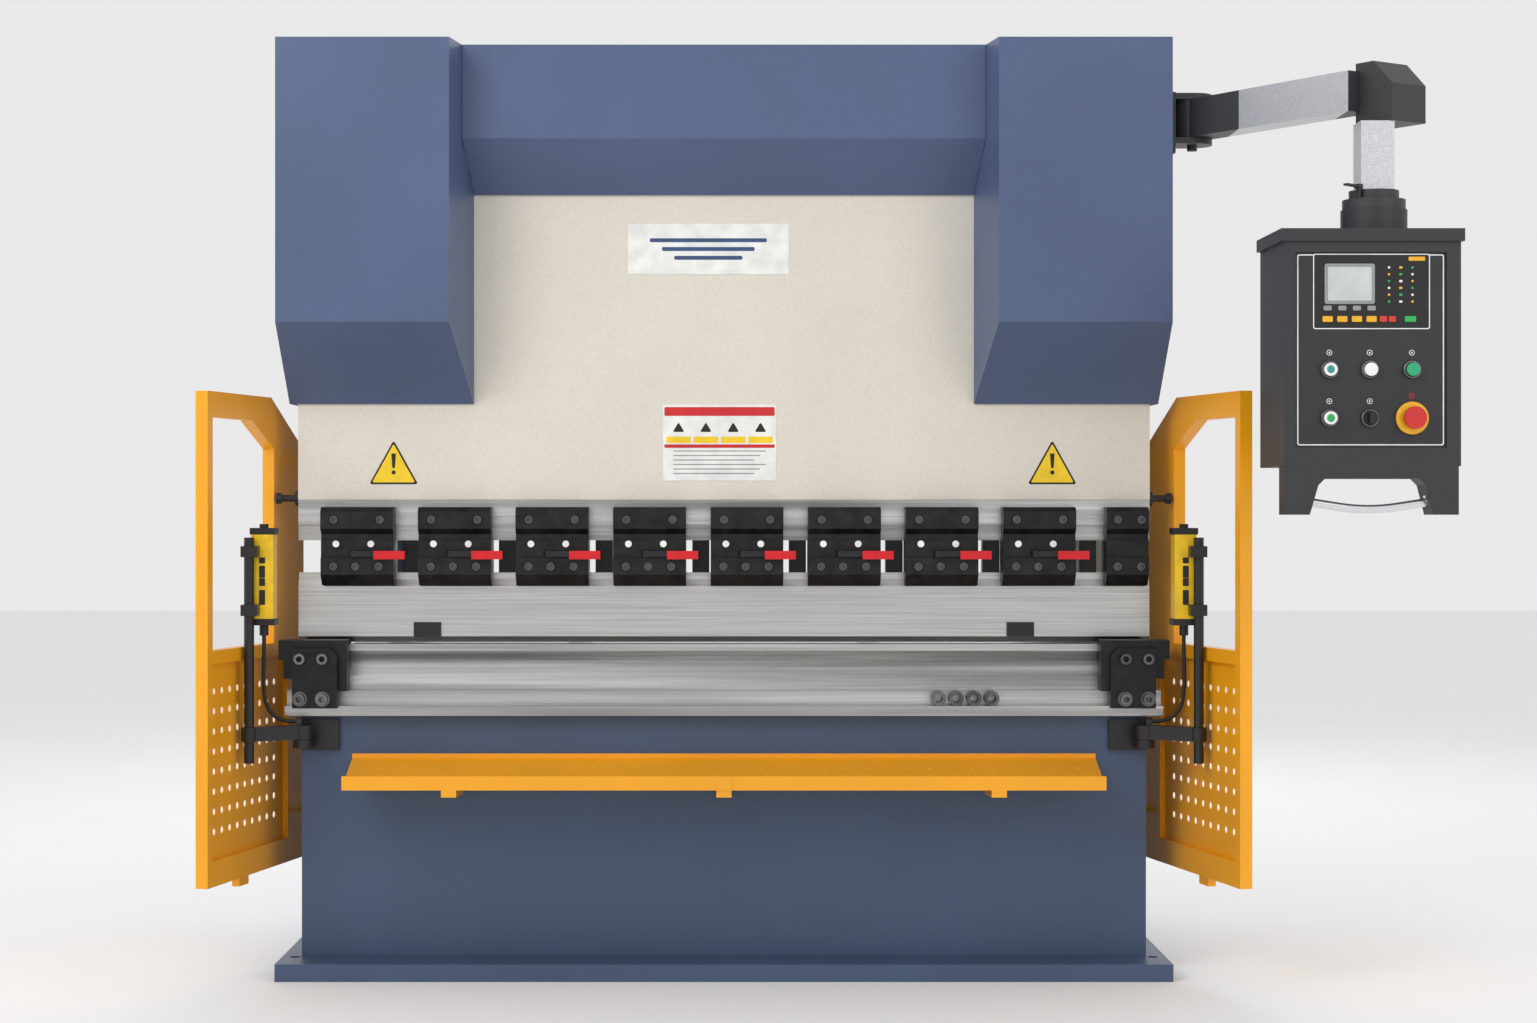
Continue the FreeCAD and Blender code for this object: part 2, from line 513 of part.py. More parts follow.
def make_cylinders():
    port = "(tank_low + tank_high + block_high / 2)"
    pad_back = "barrel_back"
    shell = fuse(
        "barrel_outer",
        rod("barrel_tube", "z", "barrel_radius", "barrel_x", "0", ("barrel_low", "barrel_top")),
        rod("barrel_gland", "z", "collar_wide", "barrel_x", "0", ("barrel_seat", "barrel_low")),
        rod("barrel_port", "x", "pipe_radius + 6", ("barrel_x - barrel_radius - 12", "barrel_x - barrel_radius + 12"),
            "0", port),
        box("barrel_pad", ("barrel_x - pad_half", "barrel_x + pad_half"), ("barrel_radius - 20", pad_back),
            ("barrel_low + 20", "barrel_top - 30")),
    )
    bored = cut(
        "barrel_bored", shell,
        rod("barrel_bore", "z", "bore_radius", "barrel_x", "0", ("barrel_low + 8", "barrel_top - 20")),
        rod("gland_bore", "z", "rod_radius + rod_gap", "barrel_x", "0", ("barrel_seat - 1", "barrel_low + 9")),
    )
    node("cylinder_barrels", *both_sides("barrel", bored))
    node("guide_rails", *both_sides("guide_bar", box(
        "guide_bar", ("barrel_x - guide_half", "barrel_x + guide_half"),
        ("ram_reach + guide_gap", "frame_upper_front"), ("guide_low", "guide_top"))))
    piston = fuse(
        "piston",
        rod("piston_foot", "z", "rod_flange", "barrel_x", "0", ("ram_shelf", "ram_shelf + rod_flange_high")),
        rod("piston_shaft", "z", "rod_radius", "barrel_x", "0", ("ram_shelf", "piston_low + piston_high")),
        rod("piston_head", "z", "bore_radius - piston_gap", "barrel_x", "0",
            ("piston_low", "piston_low + piston_high")),
    )
    node("piston_rods", *both_sides("piston", piston))


def make_hydraulics():
    top = "(tank_low + tank_high)"
    hollow = cut(
        "tank_shell",
        box("tank_outside", ("-tank_half", "tank_half"), ("tank_front", "tank_back"), ("tank_low", top)),
        box("tank_inside", ("tank_sheet - tank_half", "tank_half - tank_sheet"),
            ("tank_front + tank_sheet", "tank_back - tank_sheet"),
            ("tank_low + tank_sheet", f"{top} - tank_sheet")),
        rod("filler_hole", "z", "22", "-tank_half * 0.75", "tank_back - 80", (f"{top} - 10", f"{top} + 1")),
    )
    cap = rod("filler_cap", "z", "30", "-tank_half * 0.75", "tank_back - 80", (top, f"{top} + 22"))
    node("oil_tank", hollow, cap)

    middle = f"({top} + foot_high + motor_radius + fin_high)"
    left = "motor_x - motor_half"
    right = "motor_x + motor_half"
    fins = []
    for i in range(16):
        fin = box(f"motor_fin_{i}", (f"{left} + 20", f"{right} - 20"), ("-fin_thick / 2", "fin_thick / 2"),
                  ("0", "motor_radius + fin_high"))
        fin.Placement = FreeCAD.Placement(Vector(), FreeCAD.Rotation(Vector(1, 0, 0), i * 22.5 + 11.25))
        reach = "fin_thick / 2"
        turn = math.radians(i * 22.5 + 11.25)
        fin.setExpression("Placement.Base.x", bound(f"{left} + 20"))
        fin.setExpression("Placement.Base.y", bound(f"motor_y - {reach} * {math.cos(turn):.6f}"))
        fin.setExpression("Placement.Base.z", bound(f"{middle} - {reach} * {math.sin(turn):.6f}"))
        fins.append(fin)
    feet = [
        box(f"motor_foot_{i}", (f"motor_x + {side} * 80 - 25", f"motor_x + {side} * 80 + 25"),
            ("motor_y - 70", "motor_y + 70"), (top, f"{middle} - motor_radius * 0.8"))
        for i, side in enumerate((-1, 1))
    ]
    motor = fuse("motor", rod("motor_body", "x", "motor_radius", (left, right), "motor_y", middle),
                 rod("motor_cowl", "x", "motor_radius + fin_high", (f"{left} - cowl_long", left),
                     "motor_y", middle), *fins, *feet)
    bell = rod("pump_bell", "x", "bell_radius", (right, f"{right} + bell_long"), "motor_y", middle)
    pump = rod("pump", "x", "pump_radius", (f"{right} + bell_long", f"{right} + bell_long + pump_long"),
               "motor_y", middle)
    node("pump_motor", motor, bell, pump)

    block = box("valve_block", ("block_x - block_half", "block_x + block_half"),
                ("block_y - block_deep / 2", "block_y + block_deep / 2"), (top, f"{top} + block_high"))
    coils = [
        rod(f"valve_coil_{i}", "z", "coil_radius", f"block_x + {side} * 35", "block_y",
            (f"{top} + block_high", f"{top} + block_high + coil_long"))
        for i, side in enumerate((-1, 1))
    ]
    start = value("block_y - block_deep / 2")
    height = value(f"{top} + block_high / 2")
    across = value("torsion_y")
    reach = value("barrel_x - barrel_radius - 12")
    pipes = []
    for side in (-1, 1):
        leave = value("block_x") + side * 30
        turn = reach - 45
        route = [Vector(leave, start, height), Vector(leave, across, height), Vector(side * turn, across, height),
                 Vector(side * turn, 0, height), Vector(side * reach, 0, height)]
        tube, _, _ = tube_along(route, value("pipe_radius"), value("pipe_bend"))
        pipes.append(shaped(f"pipe_{side + 1}", tube))
    node("hydraulic_manifold", block, *coils, *pipes)


def make_cabinet():
    wall = "frame_inner + frame_thick"
    door_back = "(cabinet_out - door_thick)"
    hinge = "(cabinet_back + hinge_radius + 0.5)"
    hinge_x = "(cabinet_out - door_thick / 2)"
    shell = cut(
        "cabinet_shell",
        box("cabinet_outside", (wall, f"{door_back} - door_gap"), ("cabinet_front", "cabinet_back"),
            ("cabinet_low", "cabinet_top")),
        box("cabinet_inside", (f"{wall} + cabinet_sheet", "cabinet_out"),
            ("cabinet_front + cabinet_sheet", "cabinet_back - cabinet_sheet"),
            ("cabinet_low + cabinet_sheet", "cabinet_top - cabinet_sheet")),
    )
    inside = f"{wall} + cabinet_sheet"
    fitted = [
        box("cabinet_plate", (inside, f"{inside} + 3"), ("cabinet_front + 30", "cabinet_back - 30"),
            ("cabinet_low + 40", "cabinet_top - 40")),
        box("cabinet_drive", (f"{inside} + 3", f"{inside} + 90"), ("cabinet_front + 60", "cabinet_front + 180"),
            ("cabinet_low + 60", "cabinet_low + 260")),
        box("cabinet_relays", (f"{inside} + 3", f"{inside} + 70"), ("cabinet_front + 60", "cabinet_back - 60"),
            ("cabinet_low + 340", "cabinet_low + 430")),
    ]
    thirds = [("cabinet_low + 60", "cabinet_low + 100"), ("cabinet_top - 100", "cabinet_top - 60")]
    leaves = []
    for i, (low, high) in enumerate(thirds):
        leaves.append(box(f"cabinet_leaf_{i}", (f"{door_back} - 16", hinge_x),
                          ("cabinet_back", "cabinet_back + 4"), (low, high)))
        leaves.append(rod(f"cabinet_knuckle_{i}", "z", "hinge_radius", hinge_x, hinge, (low, high)))
    pins = [
        rod("cabinet_pin_0", "z", "3", hinge_x, hinge, ("cabinet_low + 60", "cabinet_low + 140")),
        rod("cabinet_pin_1", "z", "3", hinge_x, hinge, ("cabinet_top - 140", "cabinet_top - 60")),
    ]
    node("electrical_cabinet", fuse("cabinet_hinged", shell, *leaves, *pins), *fitted)

    door = box("door_panel", (door_back, "cabinet_out"), ("cabinet_front", "cabinet_back"),
               ("cabinet_low", "cabinet_top"))
    knuckles = []
    bores = [rod("switch_hole", "x", "8 + pin_gap", (f"{door_back} - 1", "cabinet_out + 1"), "switch_y", "switch_z")]
    spans = [("cabinet_low + 100.5", "cabinet_low + 139"), ("cabinet_top - 139", "cabinet_top - 100.5")]
    for i, (low, high) in enumerate(spans):
        knuckles.append(box(f"door_leaf_{i}", (f"{hinge_x} - 4", f"{hinge_x} + 4"),
                            ("cabinet_back - 10", hinge), (low, high)))
        knuckles.append(rod(f"door_knuckle_{i}", "z", "hinge_radius", hinge_x, hinge, (low, high)))
        bores.append(rod(f"door_bore_{i}", "z", "3 + pin_gap", hinge_x, hinge, (f"{low} - 1", f"{high} + 1")))
    node("cabinet_door", cut("door_bored", fuse("door_hinged", door, *knuckles), *bores))
    knob = fuse(
        "switch_knob",
        rod("switch_disc", "x", "switch_radius", ("cabinet_out + 0.3", "cabinet_out + 8"), "switch_y", "switch_z"),
        box("switch_grip", ("cabinet_out + 8", "cabinet_out + switch_long"),
            ("switch_y - 7", "switch_y + 7"), ("switch_z - switch_radius + 4", "switch_z + switch_radius - 4")),
        rod("switch_stem", "x", "8", (door_back, "cabinet_out + 1"), "switch_y", "switch_z"),
    )
    node("main_switch", knob)


def make_ram():
    outline = [
        ("-ram_half", "ram_low"), ("ram_half", "ram_low"), ("ram_half", "ram_shelf"),
        ("ram_neck + 20", "ram_shelf"), ("ram_neck", "ram_shelf + 20"), ("ram_neck", "ram_top"),
        ("-ram_neck", "ram_top"), ("-ram_neck", "ram_shelf + 20"), ("-ram_neck - 20", "ram_shelf"),
        ("-ram_half", "ram_shelf"),
    ]
    node("ram", prism("ram_plate", "XZ", outline, "-ram_reach", "ram_reach"))
    step = "(bar_reach - bar_groove)"
    bar = [
        ("-bar_reach", "ram_low"), ("-bar_reach", "bar_step_z"), (f"-{step}", "bar_step_z"),
        (f"-{step}", "bar_low"), (step, "bar_low"), (step, "bar_step_z"), ("bar_reach", "bar_step_z"),
        ("bar_reach", "ram_low"),
    ]
    node("tool_bar", prism("bar", "YZ", bar, "-ram_half", "ram_half"))
    punch = [
        ("0", "punch_tip"), ("punch_back", "punch_nose"), ("punch_back", "punch_top"),
        ("-punch_neck", "punch_top"), ("-punch_neck", "punch_shoulder + 14"), ("-punch_front", "punch_shoulder"),
        ("-punch_front", "punch_nose"),
    ]
    tabs = [
        box(f"punch_tab_{i}", (f"{side} * tab_x - tab_half", f"{side} * tab_x + tab_half"),
            ("-punch_front - tab_thick", "-punch_front"), ("tab_low", "tab_top"))
        for i, side in enumerate((-1, 1))
    ]
    node("punch", prism("punch_bar", "YZ", punch, "-ram_half", "ram_half"), *tabs)


def make_ram_ends():
    stub = fuse(
        "end_stub",
        rod("end_plate", "x", "end_flange", ("ram_half", "ram_half + end_flange_thick"), "0", "end_arm_z"),
        rod("end_rod", "x", "end_arm_radius", ("ram_half", "end_arm_reach"), "0", "end_arm_z"),
        rod("end_knob", "x", "end_arm_radius + 4", ("end_arm_reach - 12", "end_arm_reach"), "0", "end_arm_z"),
    )
    reach = "(torsion_y - ((torsion_y - pin_y) ^ 2 + torsion_drop ^ 2) ^ 0.5)"
    height = "(torsion_z - torsion_drop)"
    lugs = []
    for i, side in enumerate((-1, 1)):
        inner = f"crank_x + {side} * (crank_thick / 2 + lug_gap + lug_thick / 2) - lug_thick / 2"
        plate = box(f"lug_plate_{i}", (inner, f"{inner} + lug_thick"),
                    ("ram_reach", "pin_y + pin_radius + slot_gap + 14"),
                    (f"{height} - lug_half", f"{height} + lug_half"))
        slot = box(f"lug_slot_{i}", (f"{inner} - 1", f"{inner} + lug_thick + 1"),
                   (f"{reach} - pin_radius - slot_gap", "pin_y + pin_radius + slot_gap"),
                   (f"{height} - pin_radius - slot_gap", f"{height} + pin_radius + slot_gap"))
        lugs.append(cut(f"lug_{i}", plate, slot))
    node("ram_end_arms", *both_sides("ram_ends", compound("ram_ends", stub, *lugs)))


def make_torsion_bar():
    height = "(torsion_z - torsion_drop)"
    low = "crank_x - crank_thick / 2"
    high = "crank_x + crank_thick / 2"
    web = [
        ("torsion_y", "torsion_z + crank_wide / 2"), ("pin_y", f"{height} + pin_radius * 1.8"),
        ("pin_y", f"{height} - pin_radius * 1.8"), ("torsion_y", "torsion_z - crank_wide / 2 - 8"),
    ]
    pin_reach = "(crank_thick / 2 + lug_gap + lug_thick + 3)"
    cranks = []
    for i, side in enumerate((-1, 1)):
        ends = (low, high) if side > 0 else (f"-({high})", f"-({low})")
        cranks.append(prism(f"crank_web_{i}", "YZ", web, *ends))
        cranks.append(rod(f"crank_boss_{i}", "x", "crank_wide / 2 + 16", ends, "torsion_y", "torsion_z"))
        cranks.append(rod(f"crank_eye_{i}", "x", "pin_radius * 1.9", ends, "pin_y", height))
        cranks.append(rod(f"crank_pin_{i}", "x", "pin_radius",
                          (f"{side} * crank_x - {pin_reach}", f"{side} * crank_x + {pin_reach}"),
                          "pin_y", height))
    bar = rod("torsion_rod", "x", "torsion_radius", ("1 - frame_inner", "frame_inner - 1"), "torsion_y", "torsion_z")
    node("torsion_bar", fuse("torsion_cranked", bar, *cranks))
    block = cut(
        "bearing",
        box("bearing_block", ("frame_inner - bearing_thick", "frame_inner"),
            ("torsion_y - bearing_half", "torsion_y + bearing_half"),
            ("torsion_z - bearing_half", "torsion_z + bearing_half")),
        rod("bearing_bore", "x", "torsion_radius + torsion_gap",
            ("frame_inner - bearing_thick - 1", "frame_inner + 1"), "torsion_y", "torsion_z"),
    )
    node("torsion_bearings", *both_sides("bearing", block))


def clamp_body(name, half):
    """A clamp's jaw and hook, as one bar centred on X, without its bores."""
    outline = [
        ("-clamp_mid", "clamp_top"), ("-clamp_front", "brow_top"), ("-clamp_front", "brow_low"),
        ("-clamp_web", "web_top"), ("-clamp_web", "web_low"), ("-clamp_mid", "web_low"),
        ("-clamp_mid", "jaw_top"), ("-clamp_jaw", "jaw_top"), ("-clamp_jaw", "jaw_low"),
        ("-clamp_heel", "clamp_low"), ("-punch_front - 0.3", "clamp_low"), ("-punch_front - 0.3", "punch_top"),
        ("punch_back", "punch_top"), ("punch_back", "bar_low"), ("-bar_reach", "bar_low"),
        ("-bar_reach", "clamp_top"),
    ]
    return prism(name, "YZ", outline, f"-({half})", half)


def clamp_bore(name, x, front, z):
    return rod(name, "y", "screw_bore", x, (f"-({front}) - 1", f"-({front}) + screw_sunk"), z)


def make_clamps():
    upper = [("-upper_screw_x", "clamp_front", "upper_screw_z"), ("upper_screw_x", "clamp_front", "upper_screw_z")]
    lower = [(x, "clamp_jaw", "lower_screw_z") for x in ("-48", "-3", "44")]
    bores = [clamp_bore(f"clamp_bore_{i}", *place) for i, place in enumerate(upper + lower)]
    pocket = rod("lever_pocket", "z", "lever_hub + lever_gap", "lever_x", "-lever_y",
                 ("lever_low - lever_gap", "lever_low + lever_high + lever_gap"))
    pin = rod("lever_pin", "z", "lever_pin", "lever_x", "-lever_y", ("jaw_top - 2", "lever_low + lever_high"))
    boss = rod("clamp_boss", "y", "boss_radius", "lever_x", ("-clamp_mid - boss_high", "-clamp_mid"), "boss_z")
    clamp = fuse("clamp", cut("clamp_bored", clamp_body("clamp_bar", "clamp_half"), *bores, pocket), pin)
    wedge = box("wedge", ("-wedge_out", "-clamp_half - 3"), ("-wedge_reach", "wedge_reach - 4"),
                ("punch_top", "bar_low"))
    heads = [
        socket_head(f"clamp_screw_{i}", "screw_head", "screw_proud", "screw_sunk", *place)
        for i, place in enumerate(upper + lower)
    ]
    plugs = [
        rod(f"clamp_plug_{i}", "y", "plug_radius", x, ("-clamp_mid - 4", "-clamp_mid"), "boss_z")
        for i, x in enumerate(("plug_left", "plug_right"))
    ]
    lever = cut(
        "lever",
        fuse(
            "lever_solid",
            rod("lever_boss", "z", "lever_hub", "lever_x", "-lever_y", ("lever_low", "lever_low + lever_high")),
            box("lever_bar", ("lever_x", "grip_start + 8"),
                ("-lever_y - lever_thick - 4", "-lever_y - 4"), ("lever_low + 1", "lever_low + lever_high - 1")),
            box("lever_grip", ("grip_start", "grip_start + grip_long"), ("-grip_front", "-grip_back"),
                ("grip_low", "grip_low + grip_high")),
        ),
        rod("lever_bore", "z", "lever_pin + pin_gap", "lever_x", "-lever_y",
            ("lever_low - 1", "lever_low + lever_high + 1")),
    )
    set_one = compound("clamp_screw_set", *heads, *plugs)
    clamps = []
    screws = []
    for i in range(8):
        place = f"clamp_first + {i} * clamp_pitch"
        clamps.append(moved(f"clamp_{i + 1}", clamp, place))
        screws.append(moved(f"clamp_screws_{i + 1}", set_one, place))
        node(f"clamp_lever_{i + 1}", moved(f"lever_{i + 1}", lever, place))
    wedges = [moved(f"wedge_{i}", wedge, f"clamp_first + {i} * clamp_pitch") for i in range(1, 9)]

    last = "clamp_first + 8 * clamp_pitch - clamp_half + clamp_short_half + 12"
    places = [("-clamp_short_half + 22", "clamp_front", "upper_screw_z"),
              ("clamp_short_half - 16", "clamp_front", "upper_screw_z"),
              ("-clamp_short_half + 22", "clamp_jaw", "lower_screw_z"),
              ("clamp_short_half - 16", "clamp_jaw", "lower_screw_z")]
    short_bores = [clamp_bore(f"short_bore_{i}", *place) for i, place in enumerate(places)]
    short = cut("short_clamp", clamp_body("short_bar", "clamp_short_half"), *short_bores)
    clamps.append(moved("clamp_9", short, last))
    short_heads = compound("short_screw_set", *[
        socket_head(f"short_screw_{i}", "screw_head", "screw_proud", "screw_sunk", *place)
        for i, place in enumerate(places)
    ])
    screws.append(moved("clamp_screws_9", short_heads, last))
    node("tool_clamps", *clamps, *wedges)
    node("clamp_screws", *screws)


def make_back_gauge():
    rail_top = "(table_top + gauge_high)"
    slide_top = "(table_top + gauge_high + slide_high)"
    rail = fuse(
        "gauge_rail",
        box("gauge_beam", ("gauge_x - gauge_half", "gauge_x + gauge_half"), ("rail_reach + 2", "frame_back - 2"),
            ("table_top", rail_top)),
        box("gauge_slide", ("gauge_x - slide_half", "gauge_x + slide_half"), ("rail_reach + 12", "frame_back - 12"),
            (rail_top, slide_top)),
    )
    node("backgauge_rails", *both_sides("gauge_rail", rail))
    low = f"({rail_top} + slide_gap)"
    top = f"({rail_top} + slide_gap + carriage_high)"
    carriages = []
    for i, side in enumerate((-1, 1)):
        carriages.append(cut(
            f"carriage_{i}",
            box(f"carriage_block_{i}", (f"{side} * gauge_x - carriage_half", f"{side} * gauge_x + carriage_half"),
                ("carriage_front", "carriage_back"), (low, top)),
            box(f"carriage_channel_{i}",
                (f"{side} * gauge_x - slide_half - slide_gap", f"{side} * gauge_x + slide_half + slide_gap"),
                ("carriage_front - 1", "carriage_back + 1"), (f"{low} - 1", f"{slide_top} + slide_gap")),
        ))
    beam = box("gauge_cross", ("-cross_half", "cross_half"), ("cross_front", "cross_back"),
               (top, f"{top} + cross_high"))
    fingers = [
        box(f"finger_{i}", (f"{side} * finger_x - finger_half", f"{side} * finger_x + finger_half"),
            ("finger_front", "cross_back"), (f"{top} + cross_high", f"{top} + cross_high + finger_high"))
        for i, side in enumerate((-1, 1))
    ]
    node("backgauge_beam", *carriages, beam, *fingers)


def make_guards():
    outline = [
        ("-guard_start", "guard_low"), ("-guard_long", "guard_low"), ("-guard_long", "guard_top"),
        ("-guard_cut_u", "guard_top"), ("-guard_start", "guard_cut_z"),
    ]
    half = "guard_tube / 2"
    top_low = "guard_top - guard_tube * 2"
    window = [
        ("-window_start", "window_low"), ("guard_tube - guard_long", "window_low"),
        ("guard_tube - guard_long", top_low), ("-window_start - 120", top_low),
        ("-window_start", f"{top_low} - 55"),
    ]
    hole = ("guard_tube - guard_long", "-guard_start - 90")
    heights = ("guard_low + guard_tube * 2", "mid_rail_low")
    frame = cut(
        "guard_frame",
        prism("guard_outline", "YZ", outline, f"-{half}", half),
        prism("guard_window", "YZ", window, f"-{half} - 1", f"{half} + 1"),
        box("guard_panel_hole", (f"-{half} - 1", f"{half} + 1"), hole, heights),
    )
    perforations = [
        rod(f"guard_hole_{i}_{j}", "x", "perf_radius", ("-guard_sheet", "guard_sheet"),
            f"-perf_start - {i} * perf_pitch", f"perf_low + {j} * perf_pitch")
        for i in range(9) for j in range(8)
    ]
    panel = cut("guard_panel", box("guard_sheet_metal", ("-guard_sheet / 2", "guard_sheet / 2"), hole, heights),
                *perforations)
    pieces = [frame, panel, box("guard_stop", ("-8", "8"), ("-364", "-316"), ("guard_low - 18", "guard_low"))]
    bores = []
    bars = []
    for i, low in enumerate(("hinge_low", "hinge_high")):
        start = f"({low} + hinge_bar + 0.5)"
        end = f"({low} + hinge_bar + 0.5 + knuckle_long)"
        pieces.append(rod(f"guard_knuckle_{i}", "z", "knuckle_radius", "0", "0", (start, end)))
        pieces.append(box(f"guard_leaf_{i}", ("-5", "5"), ("-guard_start - 2", "-knuckle_radius / 2"), (start, end)))
        bores.append(rod(f"guard_bore_{i}", "z", "hinge_pin + pin_gap", "0", "0", (f"{start} - 1", f"{end} + 1")))
        bars.append(fuse(
            f"hinge_arm_{i}",
            box(f"hinge_bar_{i}", ("frame_inner + frame_thick", "guard_x"),
                ("guard_y - hinge_bar_half", "guard_y + hinge_bar_half"), (low, f"{low} + hinge_bar")),
            rod(f"hinge_end_{i}", "z", "hinge_bar_half", "guard_x", "guard_y", (low, f"{low} + hinge_bar")),
            rod(f"hinge_post_{i}", "z", "hinge_pin", "guard_x", "guard_y", (low, end)),
        ))
    node("guard_hinges", *both_sides("hinge_arms", compound("hinge_arms", *bars)))
    guard = cut("guard_bored", fuse("guard_solid", *pieces), *bores)
    placed = doc.addObject("App::Link", "guard_placed")
    placed.LinkedObject = guard
    placed.Placement = FreeCAD.Placement(Vector(), FreeCAD.Rotation(Vector(0, 0, 1), 1))
    placed.setExpression("Placement.Rotation.Angle", bound("guard_turn"))
    placed.setExpression("Placement.Base.x", bound("guard_x"))
    placed.setExpression("Placement.Base.y", bound("guard_y"))
    right, left = both_sides("guard", compound("guard_turned", placed))
    node("right_guard", right)
    node("left_guard", left)


def turned_box(name, x, y, start, long, half, angle, z):
    """A bar from a pivot, turned about Z by an angle, between start and long along itself."""
    bar = box(name, ("0", f"({long}) - ({start})"), ("0", f"2 * ({half})"), z)
    turn = value(angle)
    bar.setExpression("Placement.Base.x", bound(
        f"({x}) + ({start}) * cos({turn}) + ({half}) * sin({turn})"))
    bar.setExpression("Placement.Base.y", bound(
        f"({y}) + ({start}) * sin({turn}) - ({half}) * cos({turn})"))
    bar.Placement = FreeCAD.Placement(Vector(), FreeCAD.Rotation(Vector(0, 0, 1), turn))
    bar.setExpression("Placement.Rotation.Angle", bound(angle))
    return bar


def make_curtains():
    pivot = ("pivot_x", "-pivot_y")
    lug_top = "foot_top"
    bracket = fuse(
        "curtain_bracket",
        box("curtain_foot", ("foot_in", "bed_half"), ("-bed_front - 12", "-bed_front"), ("foot_low - 8", "foot_top + 38")),
        box("curtain_lug", ("pivot_x - hub_radius", "pivot_x + hub_radius"), ("-pivot_y", "-bed_front"),
            ("foot_low", lug_top)),
        rod("curtain_lug_end", "z", "hub_radius", *pivot, ("foot_low", lug_top)),
        rod("curtain_pin", "z", "pivot_pin", *pivot, ("foot_low", "arm_low + arm_high - 1")),
    )
    node("curtain_brackets", *both_sides("curtain_bracket", bracket))

    swing = math.degrees(math.atan2(value("pivot_y - post_y"), value("post_x - pivot_x")))
    reach = math.hypot(value("pivot_y - post_y"), value("post_x - pivot_x"))
    heights = ("arm_low", "arm_low + arm_high")
    clamps = [
        box(f"post_clamp_{i}", ("post_x - post_clamp_half - 5", "post_x + post_clamp_half"),
            ("-post_clamp_front", "-unit_front"), (low, f"{low} + post_clamp_high"))
        for i, low in enumerate(("post_clamp_lower", "post_clamp_upper"))
    ]
    arm = cut(
        "curtain_arm",
        fuse(
            "curtain_arm_solid",
            rod("curtain_hub", "z", "hub_radius", *pivot, heights),
            turned_box("curtain_bar", *pivot, "0", f"{reach}", "arm_half", f"{swing}", heights),
            rod("post_socket", "z", "arm_half + 3", "post_x", "-post_y", heights),
            rod("curtain_post", "z", "post_radius", "post_x", "-post_y", ("post_low", "post_top")),
            rod("cable_gland", "x", "gland_radius", ("gland_x - gland_long", "gland_x"), "-gland_y", "gland_z"),
            box("gland_seat", ("gland_x - gland_long", "gland_x"),
                ("-gland_y - gland_radius", "-gland_y + gland_radius"), ("arm_low + arm_high - 3", "gland_z")),
            *clamps,
        ),
        rod("curtain_bore", "z", "pivot_pin + pin_gap", *pivot, ("arm_low - 1", "arm_low + arm_high + 1")),
    )
    middle = ("(unit_in + unit_out) / 2", "-(unit_front + unit_back) / 2")
    over = "cap_over"
    unit = [
        box("unit_body", ("unit_in", "unit_out"), ("-unit_front", "-unit_back"), ("unit_low", "unit_top")),
        box("unit_cap_top", (f"unit_in - {over}", f"unit_out + {over}"),
            ("-unit_front", "-unit_back + cap_over"), ("unit_top", "unit_top + cap_high")),
        box("unit_cap_low", (f"unit_in - {over}", f"unit_out + {over}"),
            ("-unit_front", "-unit_back + cap_over"), ("unit_low - cap_high", "unit_low")),
        rod("unit_knob", "z", "nose_radius", *middle, ("unit_top + cap_high", "unit_top + cap_high + 8")),
        rod("unit_nose", "z", "nose_radius", *middle, ("nose_low", "unit_low - cap_high")),
    ]
    across = value("(unit_in + unit_out) / 2")
    front = value("(unit_front + unit_back) / 2")
    route = [
        Vector(across, -front, value("nose_low")), Vector(across, -front, 646), Vector(926, -132.5, 601),
        Vector(924, -127, 556), Vector(911, -122, 530),
        Vector(value("gland_x") + 25, -value("gland_y"), value("gland_z")),
        Vector(value("gland_x"), -value("gland_y"), value("gland_z")),
    ]
    tube, tightest, length = tube_along(route, value("cable_radius"))
    print("curtain cable: tightest radius", round(tightest, 1), "length", round(length, 1))
    cable = shaped("cable_tube", tube)
    for name, piece in (("arm", arm), ("unit", compound("curtain_unit", *unit)), ("cable", cable)):
        node(f"right_curtain_{name}", compound(f"right_{name}_group", piece))
        node(f"left_curtain_{name}", mirrored(f"left_{name}_mirror", piece))


